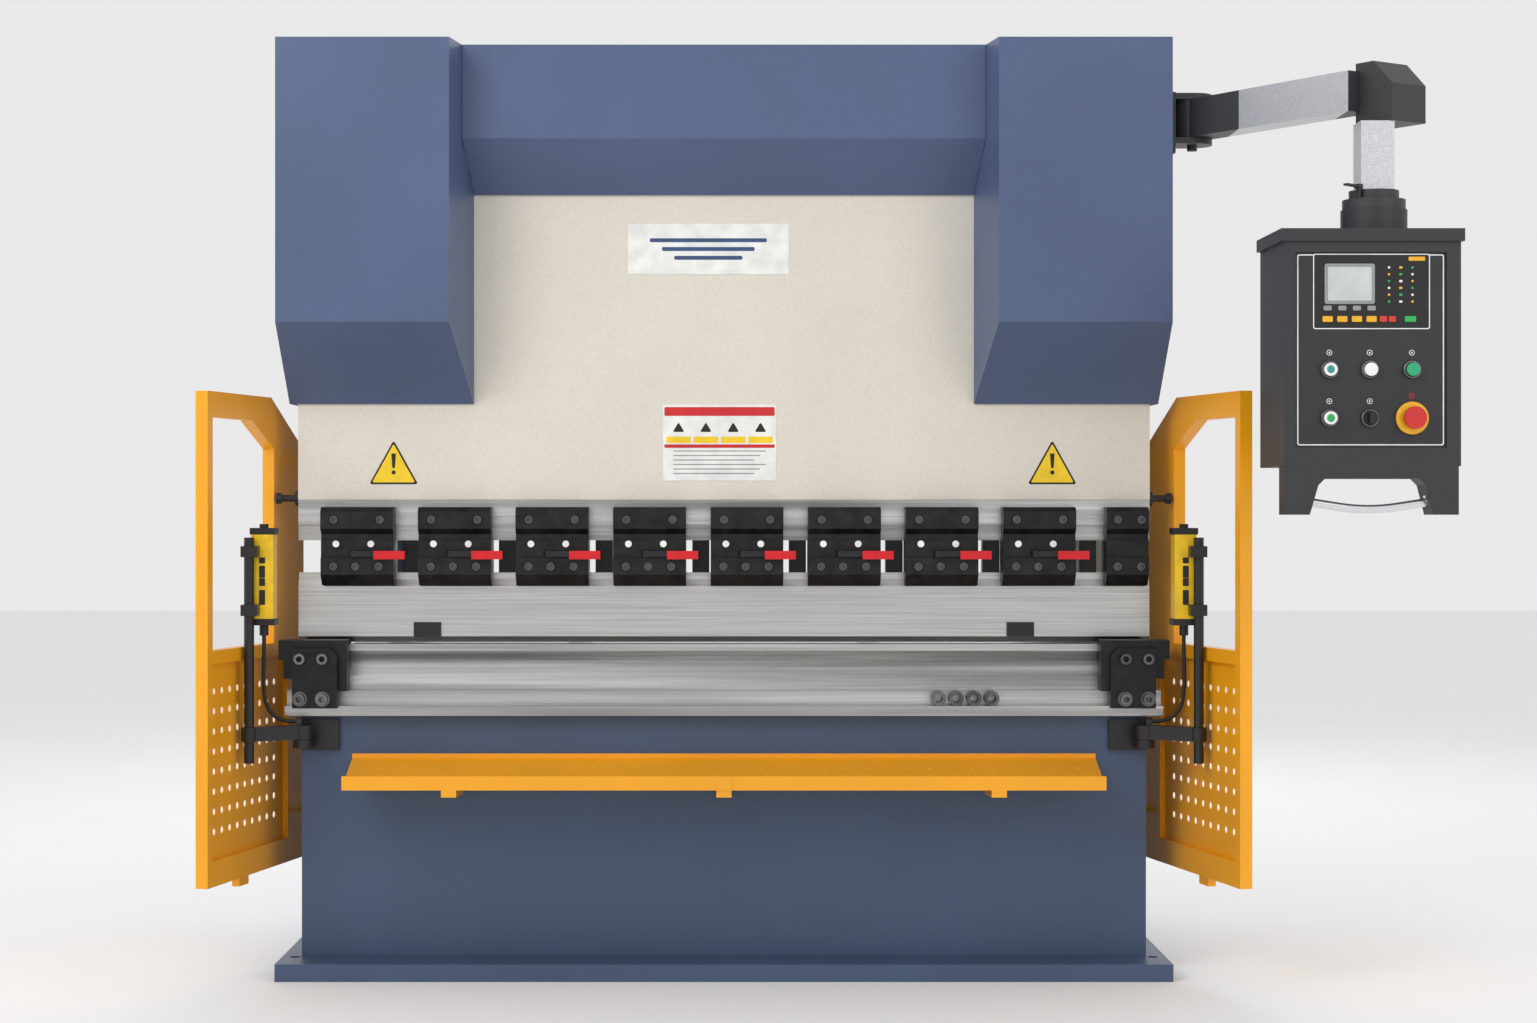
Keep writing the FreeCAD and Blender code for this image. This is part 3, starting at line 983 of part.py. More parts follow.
def make_pendant_arm():
    pivot = ("arm_x", "-arm_y")
    wall = "frame_inner + frame_thick"
    top = "(arm_top + 0.5 + bracket_thick)"
    lower = ("arm_top - arm_tall - 0.5 - bracket_thick", "arm_top - arm_tall - 0.5")
    upper = ("arm_top + 0.5", top)
    ears = []
    for i, span in enumerate((lower, upper)):
        ears.append(box(f"ear_plate_{i}", ("cover_out", "arm_x"), ("-arm_y - hub_big", "hub_big - arm_y"), span))
        ears.append(rod(f"ear_end_{i}", "z", "hub_big", *pivot, span))
    bracket = fuse(
        "bracket",
        box("bracket_back", (wall, "cover_out + bracket_thick"), ("cover_back + 1", "cover_back + 21"),
            ("bracket_low", top)),
        box("bracket_side", ("cover_out", "cover_out + bracket_thick"), ("-arm_y - bracket_half", "cover_back + 21"),
            ("bracket_low", top)),
        rod("bracket_pin", "z", "10", *pivot, ("bracket_low + 10", top)),
        *ears,
    )
    node("arm_bracket", bracket)

    along_x = value("arm_x") + value("arm_long") * math.cos(math.radians(value("arm_turn")))
    along_y = -value("arm_y") + value("arm_long") * math.sin(math.radians(value("arm_turn")))
    heights = ("arm_top - arm_tall", "arm_top")
    elbow = [
        ("-elbow_half", "elbow_low"), ("elbow_half", "elbow_low"), ("elbow_half", "elbow_top - elbow_cut"),
        ("elbow_half - elbow_cut", "elbow_top"), ("-elbow_half", "elbow_top"),
    ]
    block = prism("elbow_block", "XZ", elbow, "-elbow_half", "elbow_half")
    placed = doc.addObject("App::Link", "elbow")
    placed.LinkedObject = block
    placed.Placement = FreeCAD.Placement(Vector(along_x, along_y, 0), FreeCAD.Rotation(Vector(0, 0, 1), 1))
    placed.setExpression("Placement.Rotation.Angle", bound("arm_turn"))
    end = (f"{along_x}", f"{along_y}")
    swivel_top = "(ring_split + 0.5)"
    arm = cut(
        "arm",
        fuse(
            "arm_solid",
            rod("arm_hub", "z", "hub_big", *pivot, heights),
            turned_box("arm_tube", *pivot, "0", "arm_long - elbow_half + 10", "arm_wide / 2", "arm_turn", heights),
            placed,
            box("drop_tube", (f"{along_x} - arm_wide / 2", f"{along_x} + arm_wide / 2"),
                (f"{along_y} - arm_wide / 2", f"{along_y} + arm_wide / 2"), ("collar_low", "elbow_low")),
            rod("drop_collar", "z", "collar_radius", *end, ("collar_low", "drop_low")),
            rod("swivel_ring", "z", "ring_radius", *end, (swivel_top, "collar_low")),
            rod("swivel_pin", "z", "12", *end, ("box_top + 12", "collar_low")),
        ),
        rod("arm_bore", "z", "10 + pin_gap", *pivot, ("arm_top - arm_tall - 1", "arm_top + 1")),
        rod("lock_bore", "z", "lock_stud + pin_gap", "lock_x", "-lock_y", (f"{swivel_top} + 4", "collar_low + 1")),
    )
    node("pendant_arm", arm)
    lock = fuse(
        "lock",
        rod("lock_stem", "z", "lock_stud", "lock_x", "-lock_y", (f"{swivel_top} + 5", "collar_low + lock_high")),
        rod("lock_hub", "z", "lock_stud + 3", "lock_x", "-lock_y", ("drop_low + 1", "collar_low + lock_high")),
        turned_box("lock_bar", "lock_x", "-lock_y", "0", "lock_arm", "5", "-135",
                   ("drop_low + 3", "collar_low + lock_high - 2")),
    )
    node("lock_lever", lock)
    return end, swivel_top


def control(name, x, z, pieces, bezel, cap):
    """The panel's bezel and bore for a control, and the control's own solid with its retaining flange."""
    face = "(box_front - panel_deep)"
    ring = rod(f"{name}_bezel", "y", bezel, x, (f"-{face} - bezel_high", f"-{face}"), z)
    bore = rod(f"{name}_bore", "y", f"{cap} + pin_gap", x, (f"-{face} - 20", f"1 + panel_thick - {face}"), z)
    back = f"(panel_thick - {face} + 0.5)"
    flange = rod(f"{name}_flange", "y", f"{cap} + 2", x, (back, f"{back} + 3"), z)
    return ring, bore, fuse(name, flange, *pieces)


def make_pendant():
    end, swivel_top = make_pendant_arm()
    front = "-box_front"
    face = "(box_front - panel_deep)"
    arch = [
        ("arch_left_low", "leg_low - 1"), ("arch_left", "arch_top - 12"), ("arch_left + 12", "arch_top"),
        ("arch_right - 12", "arch_top"), ("arch_right", "arch_top - 12"), ("arch_right_low", "leg_low - 1"),
    ]
    casing = fuse(
        "casing_outside",
        box("casing", ("box_left", "box_right"), (front, "-box_back"), ("box_low", "lid_low")),
        box("casing_lid", ("box_left - lid_over", "box_right + lid_over"),
            (f"{front} - lid_over", "-box_back + lid_over"), ("lid_low", "box_top")),
        box("casing_legs", ("box_left + 4", "box_right - 4"), (front, "-leg_back"), ("leg_low", "box_low")),
        rod("casing_ring", "z", "swivel_radius", *end, ("box_top", "ring_split")),
    )
    hollow = box("casing_inside", ("box_left + box_wall", "box_right - box_wall"),
                 (f"1 + panel_thick - {face}", "-box_back - box_wall"), ("box_low + box_wall", "lid_low - box_wall"))
    pocket = box("panel_pocket", ("panel_left", "panel_right"), (f"{front} - 1", f"panel_thick - {face}"),
                 ("panel_low", "lid_low - 20"))
    window = box("panel_window", ("panel_left + 12", "panel_right - 12"), (f"-{face}", f"20 - {face}"),
                 ("panel_low + 10", "lid_low - 30"))
    bar_ends = [
        Vector(value("arch_left - 22"), -value("handle_y"), value("handle_z + 4")),
        Vector(value("(arch_left + arch_right) / 2"), -value("handle_y"), value("handle_z - handle_drop")),
        Vector(value("arch_right + 22"), -value("handle_y"), value("handle_z + 4")),
    ]
    tube, _, _ = tube_along(bar_ends, value("handle_radius"))
    bar = shaped("handle_bar", tube)
    body = cut("casing_cut", casing, hollow, pocket, window,
               prism("casing_arch", "XZ", arch, f"{front} - 1", "1 - leg_back"),
               rod("swivel_bore", "z", "12 + pin_gap", *end, ("box_top + 11", "ring_split + 1")), bar)
    node("pendant_box", body, bar)

    plate = box("panel_plate", ("panel_left", "panel_right"), (f"-{face}", f"panel_thick - {face}"),
                ("panel_low", "lid_low - 20"))
    rings = []
    bores = []
    back = f"(panel_thick - {face} + 0.5)"
    lit = {
        "start_button": ("button_left", "button_row"), "light_button": ("button_mid", "button_row"),
        "reset_button": ("button_right", "button_row"), "power_button": ("button_left", "stop_row"),
    }
    for name, (x, z) in lit.items():
        cap = rod(f"{name}_cap", "y", "button_radius", x, (f"-{face} - bezel_high - button_high", back), z)
        ring, bore, button = control(f"{name}_whole", x, z, [cap], "bezel_radius", "button_radius")
        rings.append(ring)
        bores.append(bore)
        node(name, button)
    x, z = "button_mid", "stop_row"
    turning = [
        rod("selector_cap", "y", "button_radius", x, (f"-{face} - bezel_high - 3", back), z),
        box("selector_grip", (f"{x} - 4", f"{x} + 4"), (f"-{face} - bezel_high - knob_high", f"-{face} - bezel_high"),
            (f"{z} - button_radius + 2", f"{z} + button_radius - 2")),
    ]
    ring, bore, selector = control("selector", x, z, turning, "bezel_radius", "button_radius")
    rings.append(ring)
    bores.append(bore)
    node("selector_switch", selector)
    x = "button_right"
    stem_front = f"-{face} - stop_ring_high - stop_stem_high"
    mushroom = [
        rod("stop_stem_rod", "y", "stop_stem", x, (stem_front, back), z),
        rod("stop_mushroom", "y", "stop_head_radius", x, (f"{stem_front} - mushroom_high", stem_front), z),
    ]
    ring, bore, stop = control("stop", x, z, mushroom, "stop_ring", "stop_stem")
    rings.append(ring)
    bores.append(bore)
    node("emergency_stop", stop)
    node("pendant_panel", cut("panel_bored", fuse("panel_raised", plate, *rings), *bores))


def save_parts():
    doc.recompute()
    os.makedirs("parts", exist_ok=True)
    for thing in doc.Objects:
        if {"Invalid", "Error"} & set(thing.State):
            raise ValueError(f"{thing.Label} failed: {thing.State} {thing.getStatusString()}")
    for label, thing in NODES.items():
        shape = thing.Shape
        if shape.isNull() or not shape.isValid() or not shape.Solids:
            raise ValueError(f"{label} has no valid solid")
        limits = shape.BoundBox
        print(f"{label:20s} solids {len(shape.Solids):3d}  X {limits.XMin:8.1f} {limits.XMax:8.1f}"
              f"  Y {limits.YMin:8.1f} {limits.YMax:8.1f}  Z {limits.ZMin:8.1f} {limits.ZMax:8.1f}")
        shape.exportStep(f"parts/{label}.step")
    print(len(NODES), "sub-parts")


make_base()
make_side_frames()
make_bed()
make_cross_ties()
make_lower_tooling()
make_tray()
make_covers()
make_cylinders()
make_hydraulics()
make_cabinet()
make_ram()
make_ram_ends()
make_torsion_bar()
make_clamps()
make_back_gauge()
make_guards()
make_curtains()
make_pendant()
save_parts()
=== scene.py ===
import math
import bmesh
import bpy
import numpy as np
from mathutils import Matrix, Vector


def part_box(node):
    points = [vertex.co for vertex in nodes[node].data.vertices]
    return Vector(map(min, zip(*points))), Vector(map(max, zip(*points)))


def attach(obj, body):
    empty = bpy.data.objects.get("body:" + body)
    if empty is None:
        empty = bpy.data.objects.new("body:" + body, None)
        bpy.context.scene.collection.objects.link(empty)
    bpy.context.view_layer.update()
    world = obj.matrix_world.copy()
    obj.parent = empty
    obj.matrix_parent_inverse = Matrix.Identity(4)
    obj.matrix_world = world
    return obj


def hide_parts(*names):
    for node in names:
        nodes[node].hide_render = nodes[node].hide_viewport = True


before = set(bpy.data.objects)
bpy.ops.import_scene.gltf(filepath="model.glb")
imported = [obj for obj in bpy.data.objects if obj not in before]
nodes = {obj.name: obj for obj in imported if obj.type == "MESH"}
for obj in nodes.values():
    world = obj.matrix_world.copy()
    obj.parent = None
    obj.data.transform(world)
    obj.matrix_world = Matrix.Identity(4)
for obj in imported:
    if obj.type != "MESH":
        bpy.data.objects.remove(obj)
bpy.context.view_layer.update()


def linearColour(red, green, blue):  # 0 to 255 on a paint chart, to the shader's linear light
    chart = np.array([red, green, blue]) / 255
    linear = np.where(chart <= 0.04045, chart / 12.92, ((chart + 0.055) / 1.055) ** 2.4)
    return (*linear.tolist(), 1.0)


def blankFinish(name):
    material = bpy.data.materials.new(name)
    material.use_nodes = True
    tree = material.node_tree
    shader = tree.nodes["Principled BSDF"]
    place = tree.nodes.new("ShaderNodeTexCoord").outputs["Object"]
    return material, tree, shader, place


def noiseAt(tree, place, scale, detail=3.0, stretch=(1, 1, 1)):  # stretch sets the grain's direction
    mapping = tree.nodes.new("ShaderNodeMapping")
    mapping.inputs["Scale"].default_value = stretch
    noise = tree.nodes.new("ShaderNodeTexNoise")
    noise.inputs["Scale"].default_value = scale
    noise.inputs["Detail"].default_value = detail
    tree.links.new(place, mapping.inputs["Vector"])
    tree.links.new(mapping.outputs["Vector"], noise.inputs["Vector"])
    return noise.outputs["Fac"]


def blendColours(tree, amount, first, second):  # either may be a colour or a socket
    mix = tree.nodes.new("ShaderNodeMix")
    mix.data_type = "RGBA"
    tree.links.new(amount, mix.inputs["Factor"])
    for socket, colour in ((mix.inputs["A"], first), (mix.inputs["B"], second)):
        if isinstance(colour, bpy.types.NodeSocket):
            tree.links.new(colour, socket)
        else:
            socket.default_value = colour
    return mix.outputs["Result"]


def spreadOf(tree, value, low, high):  # noise sits near one half, so its middle is stretched out
    span = tree.nodes.new("ShaderNodeMapRange")
    span.inputs["From Min"].default_value = 0.3
    span.inputs["From Max"].default_value = 0.7
    span.inputs["To Min"].default_value = low
    span.inputs["To Max"].default_value = high
    tree.links.new(value, span.inputs["Value"])
    return span.outputs["Result"]


def mathOn(tree, kind, first, second=None):
    node = tree.nodes.new("ShaderNodeMath")
    node.operation = kind
    for socket, value in zip(node.inputs, (first, second)):
        if isinstance(value, bpy.types.NodeSocket):
            tree.links.new(value, socket)
        elif value is not None:
            socket.default_value = value
    return node.outputs[0]


def bumpOn(tree, shader, height, strength, distance):
    bump = tree.nodes.new("ShaderNodeBump")
    bump.inputs["Strength"].default_value = strength
    bump.inputs["Distance"].default_value = distance
    tree.links.new(height, bump.inputs["Height"])
    tree.links.new(bump.outputs["Normal"], shader.inputs["Normal"])


def axesOf(tree, place):
    split = tree.nodes.new("ShaderNodeSeparateXYZ")
    tree.links.new(place, split.inputs[0])
    return split.outputs["X"], split.outputs["Y"], split.outputs["Z"]


def scaledColour(colour, factor):
    return (*[min(1.0, c * factor) for c in colour[:3]], 1.0)


def texturedPaint(name, colour, rough=0.42, peel=260, depth=0.0004, shade=0.14, metal=0.0):
    # sprayed paint: broad drift of shade, a fine orange peel in the bump and the gloss
    material, tree, shader, place = blankFinish(name)
    drift = noiseAt(tree, place, 3.5, 4)
    skin = noiseAt(tree, place, peel, 2)
    body = blendColours(tree, spreadOf(tree, drift, 0, 1), scaledColour(colour, 1 - shade),
                        scaledColour(colour, 1 + shade))
    speck = blendColours(tree, spreadOf(tree, skin, 0, 0.22), body, scaledColour(colour, 1.55))
    tree.links.new(speck, shader.inputs["Base Color"])
    tree.links.new(spreadOf(tree, skin, rough - 0.07, rough + 0.1), shader.inputs["Roughness"])
    shader.inputs["Metallic"].default_value = metal
    shader.inputs["Coat Weight"].default_value = 0.12
    shader.inputs["Coat Roughness"].default_value = 0.3
    bumpOn(tree, shader, skin, 0.5, depth)
    return material


def brushedSteel(name, colour, rough=0.3, stretch=(2.0, 260, 260), reflectionStretch=(0.6, 24, 24), shade=0.55):
    # ground steel: fine scratches along the length over broad, soft bands of painted reflection, lighter and
    # darker in the base colour
    material, tree, shader, place = blankFinish(name)
    scratches = noiseAt(tree, place, 2.0, 5, stretch)
    # painted reflection: broad bands of light and dark put into the steel's colour; shade sets how deep they
    # go
    paintedReflection = noiseAt(tree, place, 1.6, 3, reflectionStretch)
    body = blendColours(tree, spreadOf(tree, paintedReflection, 0, 1), scaledColour(colour, 1 - shade),
                        scaledColour(colour, 1 + shade * 0.7))
    fine = blendColours(tree, spreadOf(tree, scratches, 0, 0.4), body, scaledColour(colour, 0.55))
    tree.links.new(fine, shader.inputs["Base Color"])
    tree.links.new(spreadOf(tree, scratches, rough - 0.08, rough + 0.16), shader.inputs["Roughness"])
    shader.inputs["Metallic"].default_value = 1.0
    bumpOn(tree, shader, scratches, 0.25, 0.0003)
    return material


def blackOxide(name, colour=linearColour(30, 30, 32), rough=0.38):
    # oxide-blacked steel: dark, a little patchy, with a faint grey bloom
    material, tree, shader, place = blankFinish(name)
    patch = noiseAt(tree, place, 38, 5)
    grain = noiseAt(tree, place, 900, 2)
    body = blendColours(tree, spreadOf(tree, patch, 0, 1), scaledColour(colour, 0.7),
                        scaledColour(colour, 1.7))
    tree.links.new(body, shader.inputs["Base Color"])
    tree.links.new(spreadOf(tree, patch, rough - 0.08, rough + 0.14), shader.inputs["Roughness"])
    shader.inputs["Metallic"].default_value = 0.55
    bumpOn(tree, shader, grain, 0.3, 0.0002)
    return material


def mouldedPlastic(name, colour, rough=0.35, coat=0.2, grainScale=700):
    material, tree, shader, place = blankFinish(name)
    grain = noiseAt(tree, place, grainScale, 2)
    drift = noiseAt(tree, place, 30, 3)
    body = blendColours(tree, spreadOf(tree, drift, 0, 1), scaledColour(colour, 0.9),
                        scaledColour(colour, 1.1))
    tree.links.new(body, shader.inputs["Base Color"])
    tree.links.new(spreadOf(tree, grain, rough - 0.05, rough + 0.08), shader.inputs["Roughness"])
    shader.inputs["Coat Weight"].default_value = coat
    bumpOn(tree, shader, grain, 0.2, 0.0002)
    return material


def splitFinish(name, base, other, chooser):
    # two finishes on one part, parted at a plane: chooser gives 1 where the second one is
    material, tree, shader, place = blankFinish(name)
    pick = chooser(tree, axesOf(tree, place))
    grain = noiseAt(tree, place, base["grain"], 3, base.get("stretch", (1, 1, 1)))
    first = blendColours(tree, spreadOf(tree, grain, 0, 1), scaledColour(base["colour"], 0.82),
                         scaledColour(base["colour"], 1.15))
    second = blendColours(tree, spreadOf(tree, grain, 0, 1), scaledColour(other["colour"], 0.85),
                          scaledColour(other["colour"], 1.12))
    tree.links.new(blendColours(tree, pick, first, second), shader.inputs["Base Color"])
    for socket, key in (("Metallic", "metal"), ("Roughness", "rough")):
        if other[key] == base[key]:  # the same all over, so the socket holds it
            shader.inputs[socket].default_value = base[key]
            continue
        step = mathOn(tree, "MULTIPLY", pick, other[key] - base[key])
        tree.links.new(mathOn(tree, "ADD", step, base[key]), shader.inputs[socket])
    bumpOn(tree, shader, grain, 0.2, 0.0002)
    return material


paints = {
    "blue": linearColour(74, 90, 124), "bedBlue": linearColour(60, 78, 108),
    "cream": linearColour(217, 209, 197),
    "guardYellow": linearColour(245, 163, 6), "unitYellow": linearColour(243, 196, 10),
    "steel": linearColour(196, 195, 193), "darkSteel": linearColour(120, 120, 122),
    "silver": linearColour(206, 207, 210), "black": linearColour(20, 20, 22),
    "red": linearColour(212, 10, 26), "pendantGrey": linearColour(46, 47, 50),
    "panelGrey": linearColour(38, 39, 43), "cabinetGrey": linearColour(176, 180, 182),
    "motorBlue": linearColour(70, 84, 104), "white": linearColour(240, 240, 238),
    "teal": linearColour(20, 148, 140), "green": linearColour(16, 166, 112),
}

housingPaint = texturedPaint("housingPaint", paints["blue"], peel=330, depth=0.0006, shade=0.1)
bedPaint = texturedPaint("bedPaint", paints["bedBlue"], peel=420, depth=0.0002, shade=0.09)
creamPaint = texturedPaint("creamPaint", paints["cream"], rough=0.36, peel=300, depth=0.0003, shade=0.04)
guardPaint = texturedPaint("guardPaint", paints["guardYellow"], rough=0.36, peel=500, depth=0.0002,
                           shade=0.07)
unitPaint = texturedPaint("unitPaint", paints["unitYellow"], rough=0.33, peel=500, depth=0.0002, shade=0.05)
cabinetPaint = texturedPaint("cabinetPaint", paints["cabinetGrey"], rough=0.5, peel=380, shade=0.05)
pendantPaint = texturedPaint("pendantPaint", paints["pendantGrey"], rough=0.5, peel=700, depth=0.0003,
                             shade=0.1)
panelFilm = mouldedPlastic("panelFilm", paints["panelGrey"], rough=0.45, coat=0.05)
motorPaint = texturedPaint("motorPaint", paints["motorBlue"], rough=0.5, peel=240, depth=0.0006)
groundSteel = brushedSteel("groundSteel", paints["steel"])
tableSteel = brushedSteel("tableSteel", paints["steel"], rough=0.34, reflectionStretch=(0.5, 16, 16), shade=0.5)
zincSteel = brushedSteel("zincSteel", paints["darkSteel"], rough=0.34, stretch=(90, 90, 90), reflectionStretch=(8, 8, 8))
screwBlack = blackOxide("screwBlack", linearColour(46, 46, 49), rough=0.3)
clampBlack = blackOxide("clampBlack")
armBlack = mouldedPlastic("armBlack", paints["black"], rough=0.45, coat=0.1)
chromeRod = brushedSteel("chromeRod", paints["silver"], rough=0.12, stretch=(60, 60, 2),
                         reflectionStretch=(2, 2, 0.4), shade=0.06)
alloy = brushedSteel("alloy", paints["silver"], rough=0.38, stretch=(3, 240, 240),
                     reflectionStretch=(0.5, 6, 6), shade=0.12)
cableRubber = mouldedPlastic("cableRubber", linearColour(22, 22, 23), rough=0.55, coat=0.0, grainScale=1200)
lampTeal = mouldedPlastic("lampTeal", paints["teal"], rough=0.16, coat=0.6)
lampWhite = mouldedPlastic("lampWhite", paints["white"], rough=0.18, coat=0.6)
lampGreen = mouldedPlastic("lampGreen", paints["green"], rough=0.16, coat=0.6)
stopRed = mouldedPlastic("stopRed", linearColour(206, 24, 26), rough=0.24, coat=0.5)
inkBlack = mouldedPlastic("inkBlack", linearColour(20, 20, 20), rough=0.5, coat=0.0)
inkWhite = mouldedPlastic("inkWhite", linearColour(236, 236, 232), rough=0.45, coat=0.1)
inkRed = mouldedPlastic("inkRed", linearColour(204, 30, 34), rough=0.45, coat=0.1)
inkYellow = mouldedPlastic("inkYellow", linearColour(245, 205, 20), rough=0.42, coat=0.1)
inkBlue = mouldedPlastic("inkBlue", linearColour(52, 76, 122), rough=0.42, coat=0.1)
inkGrey = mouldedPlastic("inkGrey", linearColour(150, 152, 152), rough=0.5, coat=0.0)
keyYellow = mouldedPlastic("keyYellow", linearColour(238, 176, 20), rough=0.35)
keyRed = mouldedPlastic("keyRed", linearColour(206, 52, 38), rough=0.35)
keyGreen = mouldedPlastic("keyGreen", linearColour(28, 172, 84), rough=0.35)
screenGrey = mouldedPlastic("screenGrey", linearColour(196, 202, 202), rough=0.12, coat=0.7)


# where a part's finish changes, in metres from a face of its box
splits = {
    "tabFace": 0.0046, "plungerDrop": 0.0015, "plungerHalf": 0.012, "gripBack": 0.0632,
    "hubWide": 0.105, "elbowDeep": 0.116, "elbowWide": 0.145, "swivelHigh": 0.068,
    "barMiddle": 0.001, "barHalf": 0.1065, "barFront": -0.5985, "barBack": -0.5815,
    "barUnder": 0.005, "barTop": 0.968, "capTop": 0.0212, "capLow": 0.0342,
}


def punchSplit(tree, axes):  # the two dark tabs stand in front of the punch's face
    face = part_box("punch")[0].y + splits["tabFace"]
    return mathOn(tree, "LESS_THAN", axes[1], face)


def screwSplit(tree, axes):  # the plungers sit in a row between the upper and lower screws
    low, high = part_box("clamp_screws")
    middle = (low.z + high.z) / 2 - splits["plungerDrop"]
    away = mathOn(tree, "ABSOLUTE", mathOn(tree, "SUBTRACT", axes[2], middle))
    return mathOn(tree, "LESS_THAN", away, splits["plungerHalf"])


def leverSplit(node):  # the grip starts a third of the way along the lever
    low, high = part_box(node)
    start = high.x - splits["gripBack"]
    return lambda tree, axes: mathOn(tree, "GREATER_THAN", axes[0], start)


def armSplit(tree, axes):  # the hub, the elbow and the swivel are dark castings, the tubes are alloy
    low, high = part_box("pendant_arm")
    hubEnd = low.x + splits["hubWide"]
    elbowLow = high.z - splits["elbowDeep"]
    elbowIn = high.x - splits["elbowWide"]
    dropLow = low.z + splits["swivelHigh"]
    hub = mathOn(tree, "LESS_THAN", axes[0], hubEnd)
    beyond = mathOn(tree, "GREATER_THAN", axes[0], elbowIn)
    over = mathOn(tree, "GREATER_THAN", axes[2], elbowLow)
    elbow = mathOn(tree, "MULTIPLY", beyond, over)
    under = mathOn(tree, "LESS_THAN", axes[2], dropLow)
    return mathOn(tree, "MAXIMUM", mathOn(tree, "MAXIMUM", hub, elbow), under)


def withinSpan(tree, value, low, high):
    away = mathOn(tree, "ABSOLUTE", mathOn(tree, "SUBTRACT", value, (low + high) / 2))
    return mathOn(tree, "LESS_THAN", away, (high - low) / 2)


def handleSplit(tree, axes):  # the sagging handle bar hangs in the arch between the two legs
    low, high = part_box("pendant_box")
    middle = (low.x + high.x) / 2 - splits["barMiddle"]
    depth = withinSpan(tree, axes[1], splits["barFront"], splits["barBack"])
    height = withinSpan(tree, axes[2], low.z - splits["barUnder"], splits["barTop"])
    between = withinSpan(tree, axes[0], middle - splits["barHalf"], middle + splits["barHalf"])
    return mathOn(tree, "MULTIPLY", mathOn(tree, "MULTIPLY", depth, height), between)


def unitSplit(node):  # yellow tube between its black end caps
    low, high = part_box(node)
    topCap = high.z - splits["capTop"]
    lowCap = low.z + splits["capLow"]
    return lambda tree, axes: mathOn(tree, "MAXIMUM", mathOn(tree, "GREATER_THAN", axes[2], topCap),
                                     mathOn(tree, "LESS_THAN", axes[2], lowCap))


steelLook = {"colour": paints["steel"], "metal": 1.0, "rough": 0.32, "grain": 2.0, "stretch": (2, 260, 260)}
blackLook = {"colour": paints["black"], "metal": 0.0, "rough": 0.45, "grain": 60}
oxideLook = {"colour": linearColour(44, 44, 47), "metal": 0.5, "rough": 0.34, "grain": 60}
headLook = {"colour": linearColour(92, 92, 96), "metal": 0.9, "rough": 0.26, "grain": 60}
whiteLook = {"colour": paints["white"], "metal": 0.0, "rough": 0.4, "grain": 60}
redLook = {"colour": paints["red"], "metal": 0.0, "rough": 0.34, "grain": 60}
alloyLook = {"colour": paints["silver"], "metal": 0.7, "rough": 0.38, "grain": 420}
yellowLook = {"colour": paints["unitYellow"], "metal": 0.0, "rough": 0.36, "grain": 40}
paintLook = {"colour": paints["pendantGrey"], "metal": 0.0, "rough": 0.5, "grain": 500}
chromeLook = {"colour": linearColour(226, 227, 230), "metal": 0.9, "rough": 0.16}
darkLook = {"colour": linearColour(52, 53, 56), "metal": 0.0, "rough": 0.48, "grain": 90}

partFinish = {
    "base_plates": bedPaint, "side_frames": housingPaint, "bed_plate": bedPaint, "cross_ties": bedPaint,
    "table_plate": tableSteel, "die_rail": tableSteel, "four_way_die": groundSteel,
    "die_end_brackets": clampBlack, "table_screws": zincSteel, "front_tray": guardPaint,
    "cylinder_covers": housingPaint, "centre_cover": housingPaint, "cylinder_barrels": screwBlack,
    "guide_rails": groundSteel, "oil_tank": bedPaint, "pump_motor": motorPaint,
    "hydraulic_manifold": zincSteel, "electrical_cabinet": cabinetPaint, "torsion_bearings": screwBlack,
    "backgauge_rails": tableSteel, "curtain_brackets": armBlack, "guard_hinges": guardPaint,
    "arm_bracket": pendantPaint, "ram": creamPaint, "tool_bar": groundSteel, "tool_clamps": clampBlack,
    "piston_rods": chromeRod, "ram_end_arms": screwBlack, "torsion_bar": zincSteel, "backgauge_beam": alloy,
    "cabinet_door": cabinetPaint, "main_switch": stopRed, "left_guard": guardPaint, "right_guard": guardPaint,
    "left_curtain_arm": armBlack, "right_curtain_arm": armBlack, "lock_lever": screwBlack,
    "pendant_box": splitFinish("boxPaint", paintLook, chromeLook, handleSplit),
    "pendant_panel": panelFilm, "start_button": lampWhite,
    "light_button": lampWhite, "reset_button": lampGreen, "power_button": lampWhite,
    "selector_switch": armBlack, "emergency_stop": stopRed,
    "punch": splitFinish("punchFaces", steelLook, blackLook, punchSplit),
    "clamp_screws": splitFinish("clampHeads", headLook, whiteLook, screwSplit),
    "pendant_arm": splitFinish("armTubes", alloyLook, darkLook, armSplit),
    "left_curtain_unit": splitFinish("leftUnit", yellowLook, blackLook, unitSplit("left_curtain_unit")),
    "right_curtain_unit": splitFinish("rightUnit", yellowLook, blackLook, unitSplit("right_curtain_unit")),
}
for number in range(1, 9):
    lever = f"clamp_lever_{number}"
    partFinish[lever] = splitFinish(f"leverFinish{number}", oxideLook, redLook, leverSplit(lever))

for nodeName, finish in partFinish.items():
    nodes[nodeName].data.materials.clear()
    nodes[nodeName].data.materials.append(finish)
print("finishes on", len(partFinish), "parts")


# every piece below is points worked out as whole arrays, and faces between them
def meshFrom(name, points, faces, finish, body):
    mesh = bpy.data.meshes.new(name)
    mesh.from_pydata(points.reshape(-1, 3).tolist(), [], faces)
    mesh.update()
    piece = bpy.data.objects.new(name, mesh)
    bpy.context.scene.collection.objects.link(piece)
    mesh.materials.append(finish)
    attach(piece, body)
    return piece


def ringFaces(rings, count):  # quads between each closed loop of points and the next one
    row = np.arange(rings - 1)[:, None] * count
    here = np.arange(count)[None, :]
    there = (here + 1) % count
    quads = np.stack([row + here, row + there, row + count + there, row + count + here], axis=-1)
    return quads.reshape(-1, 4).tolist()


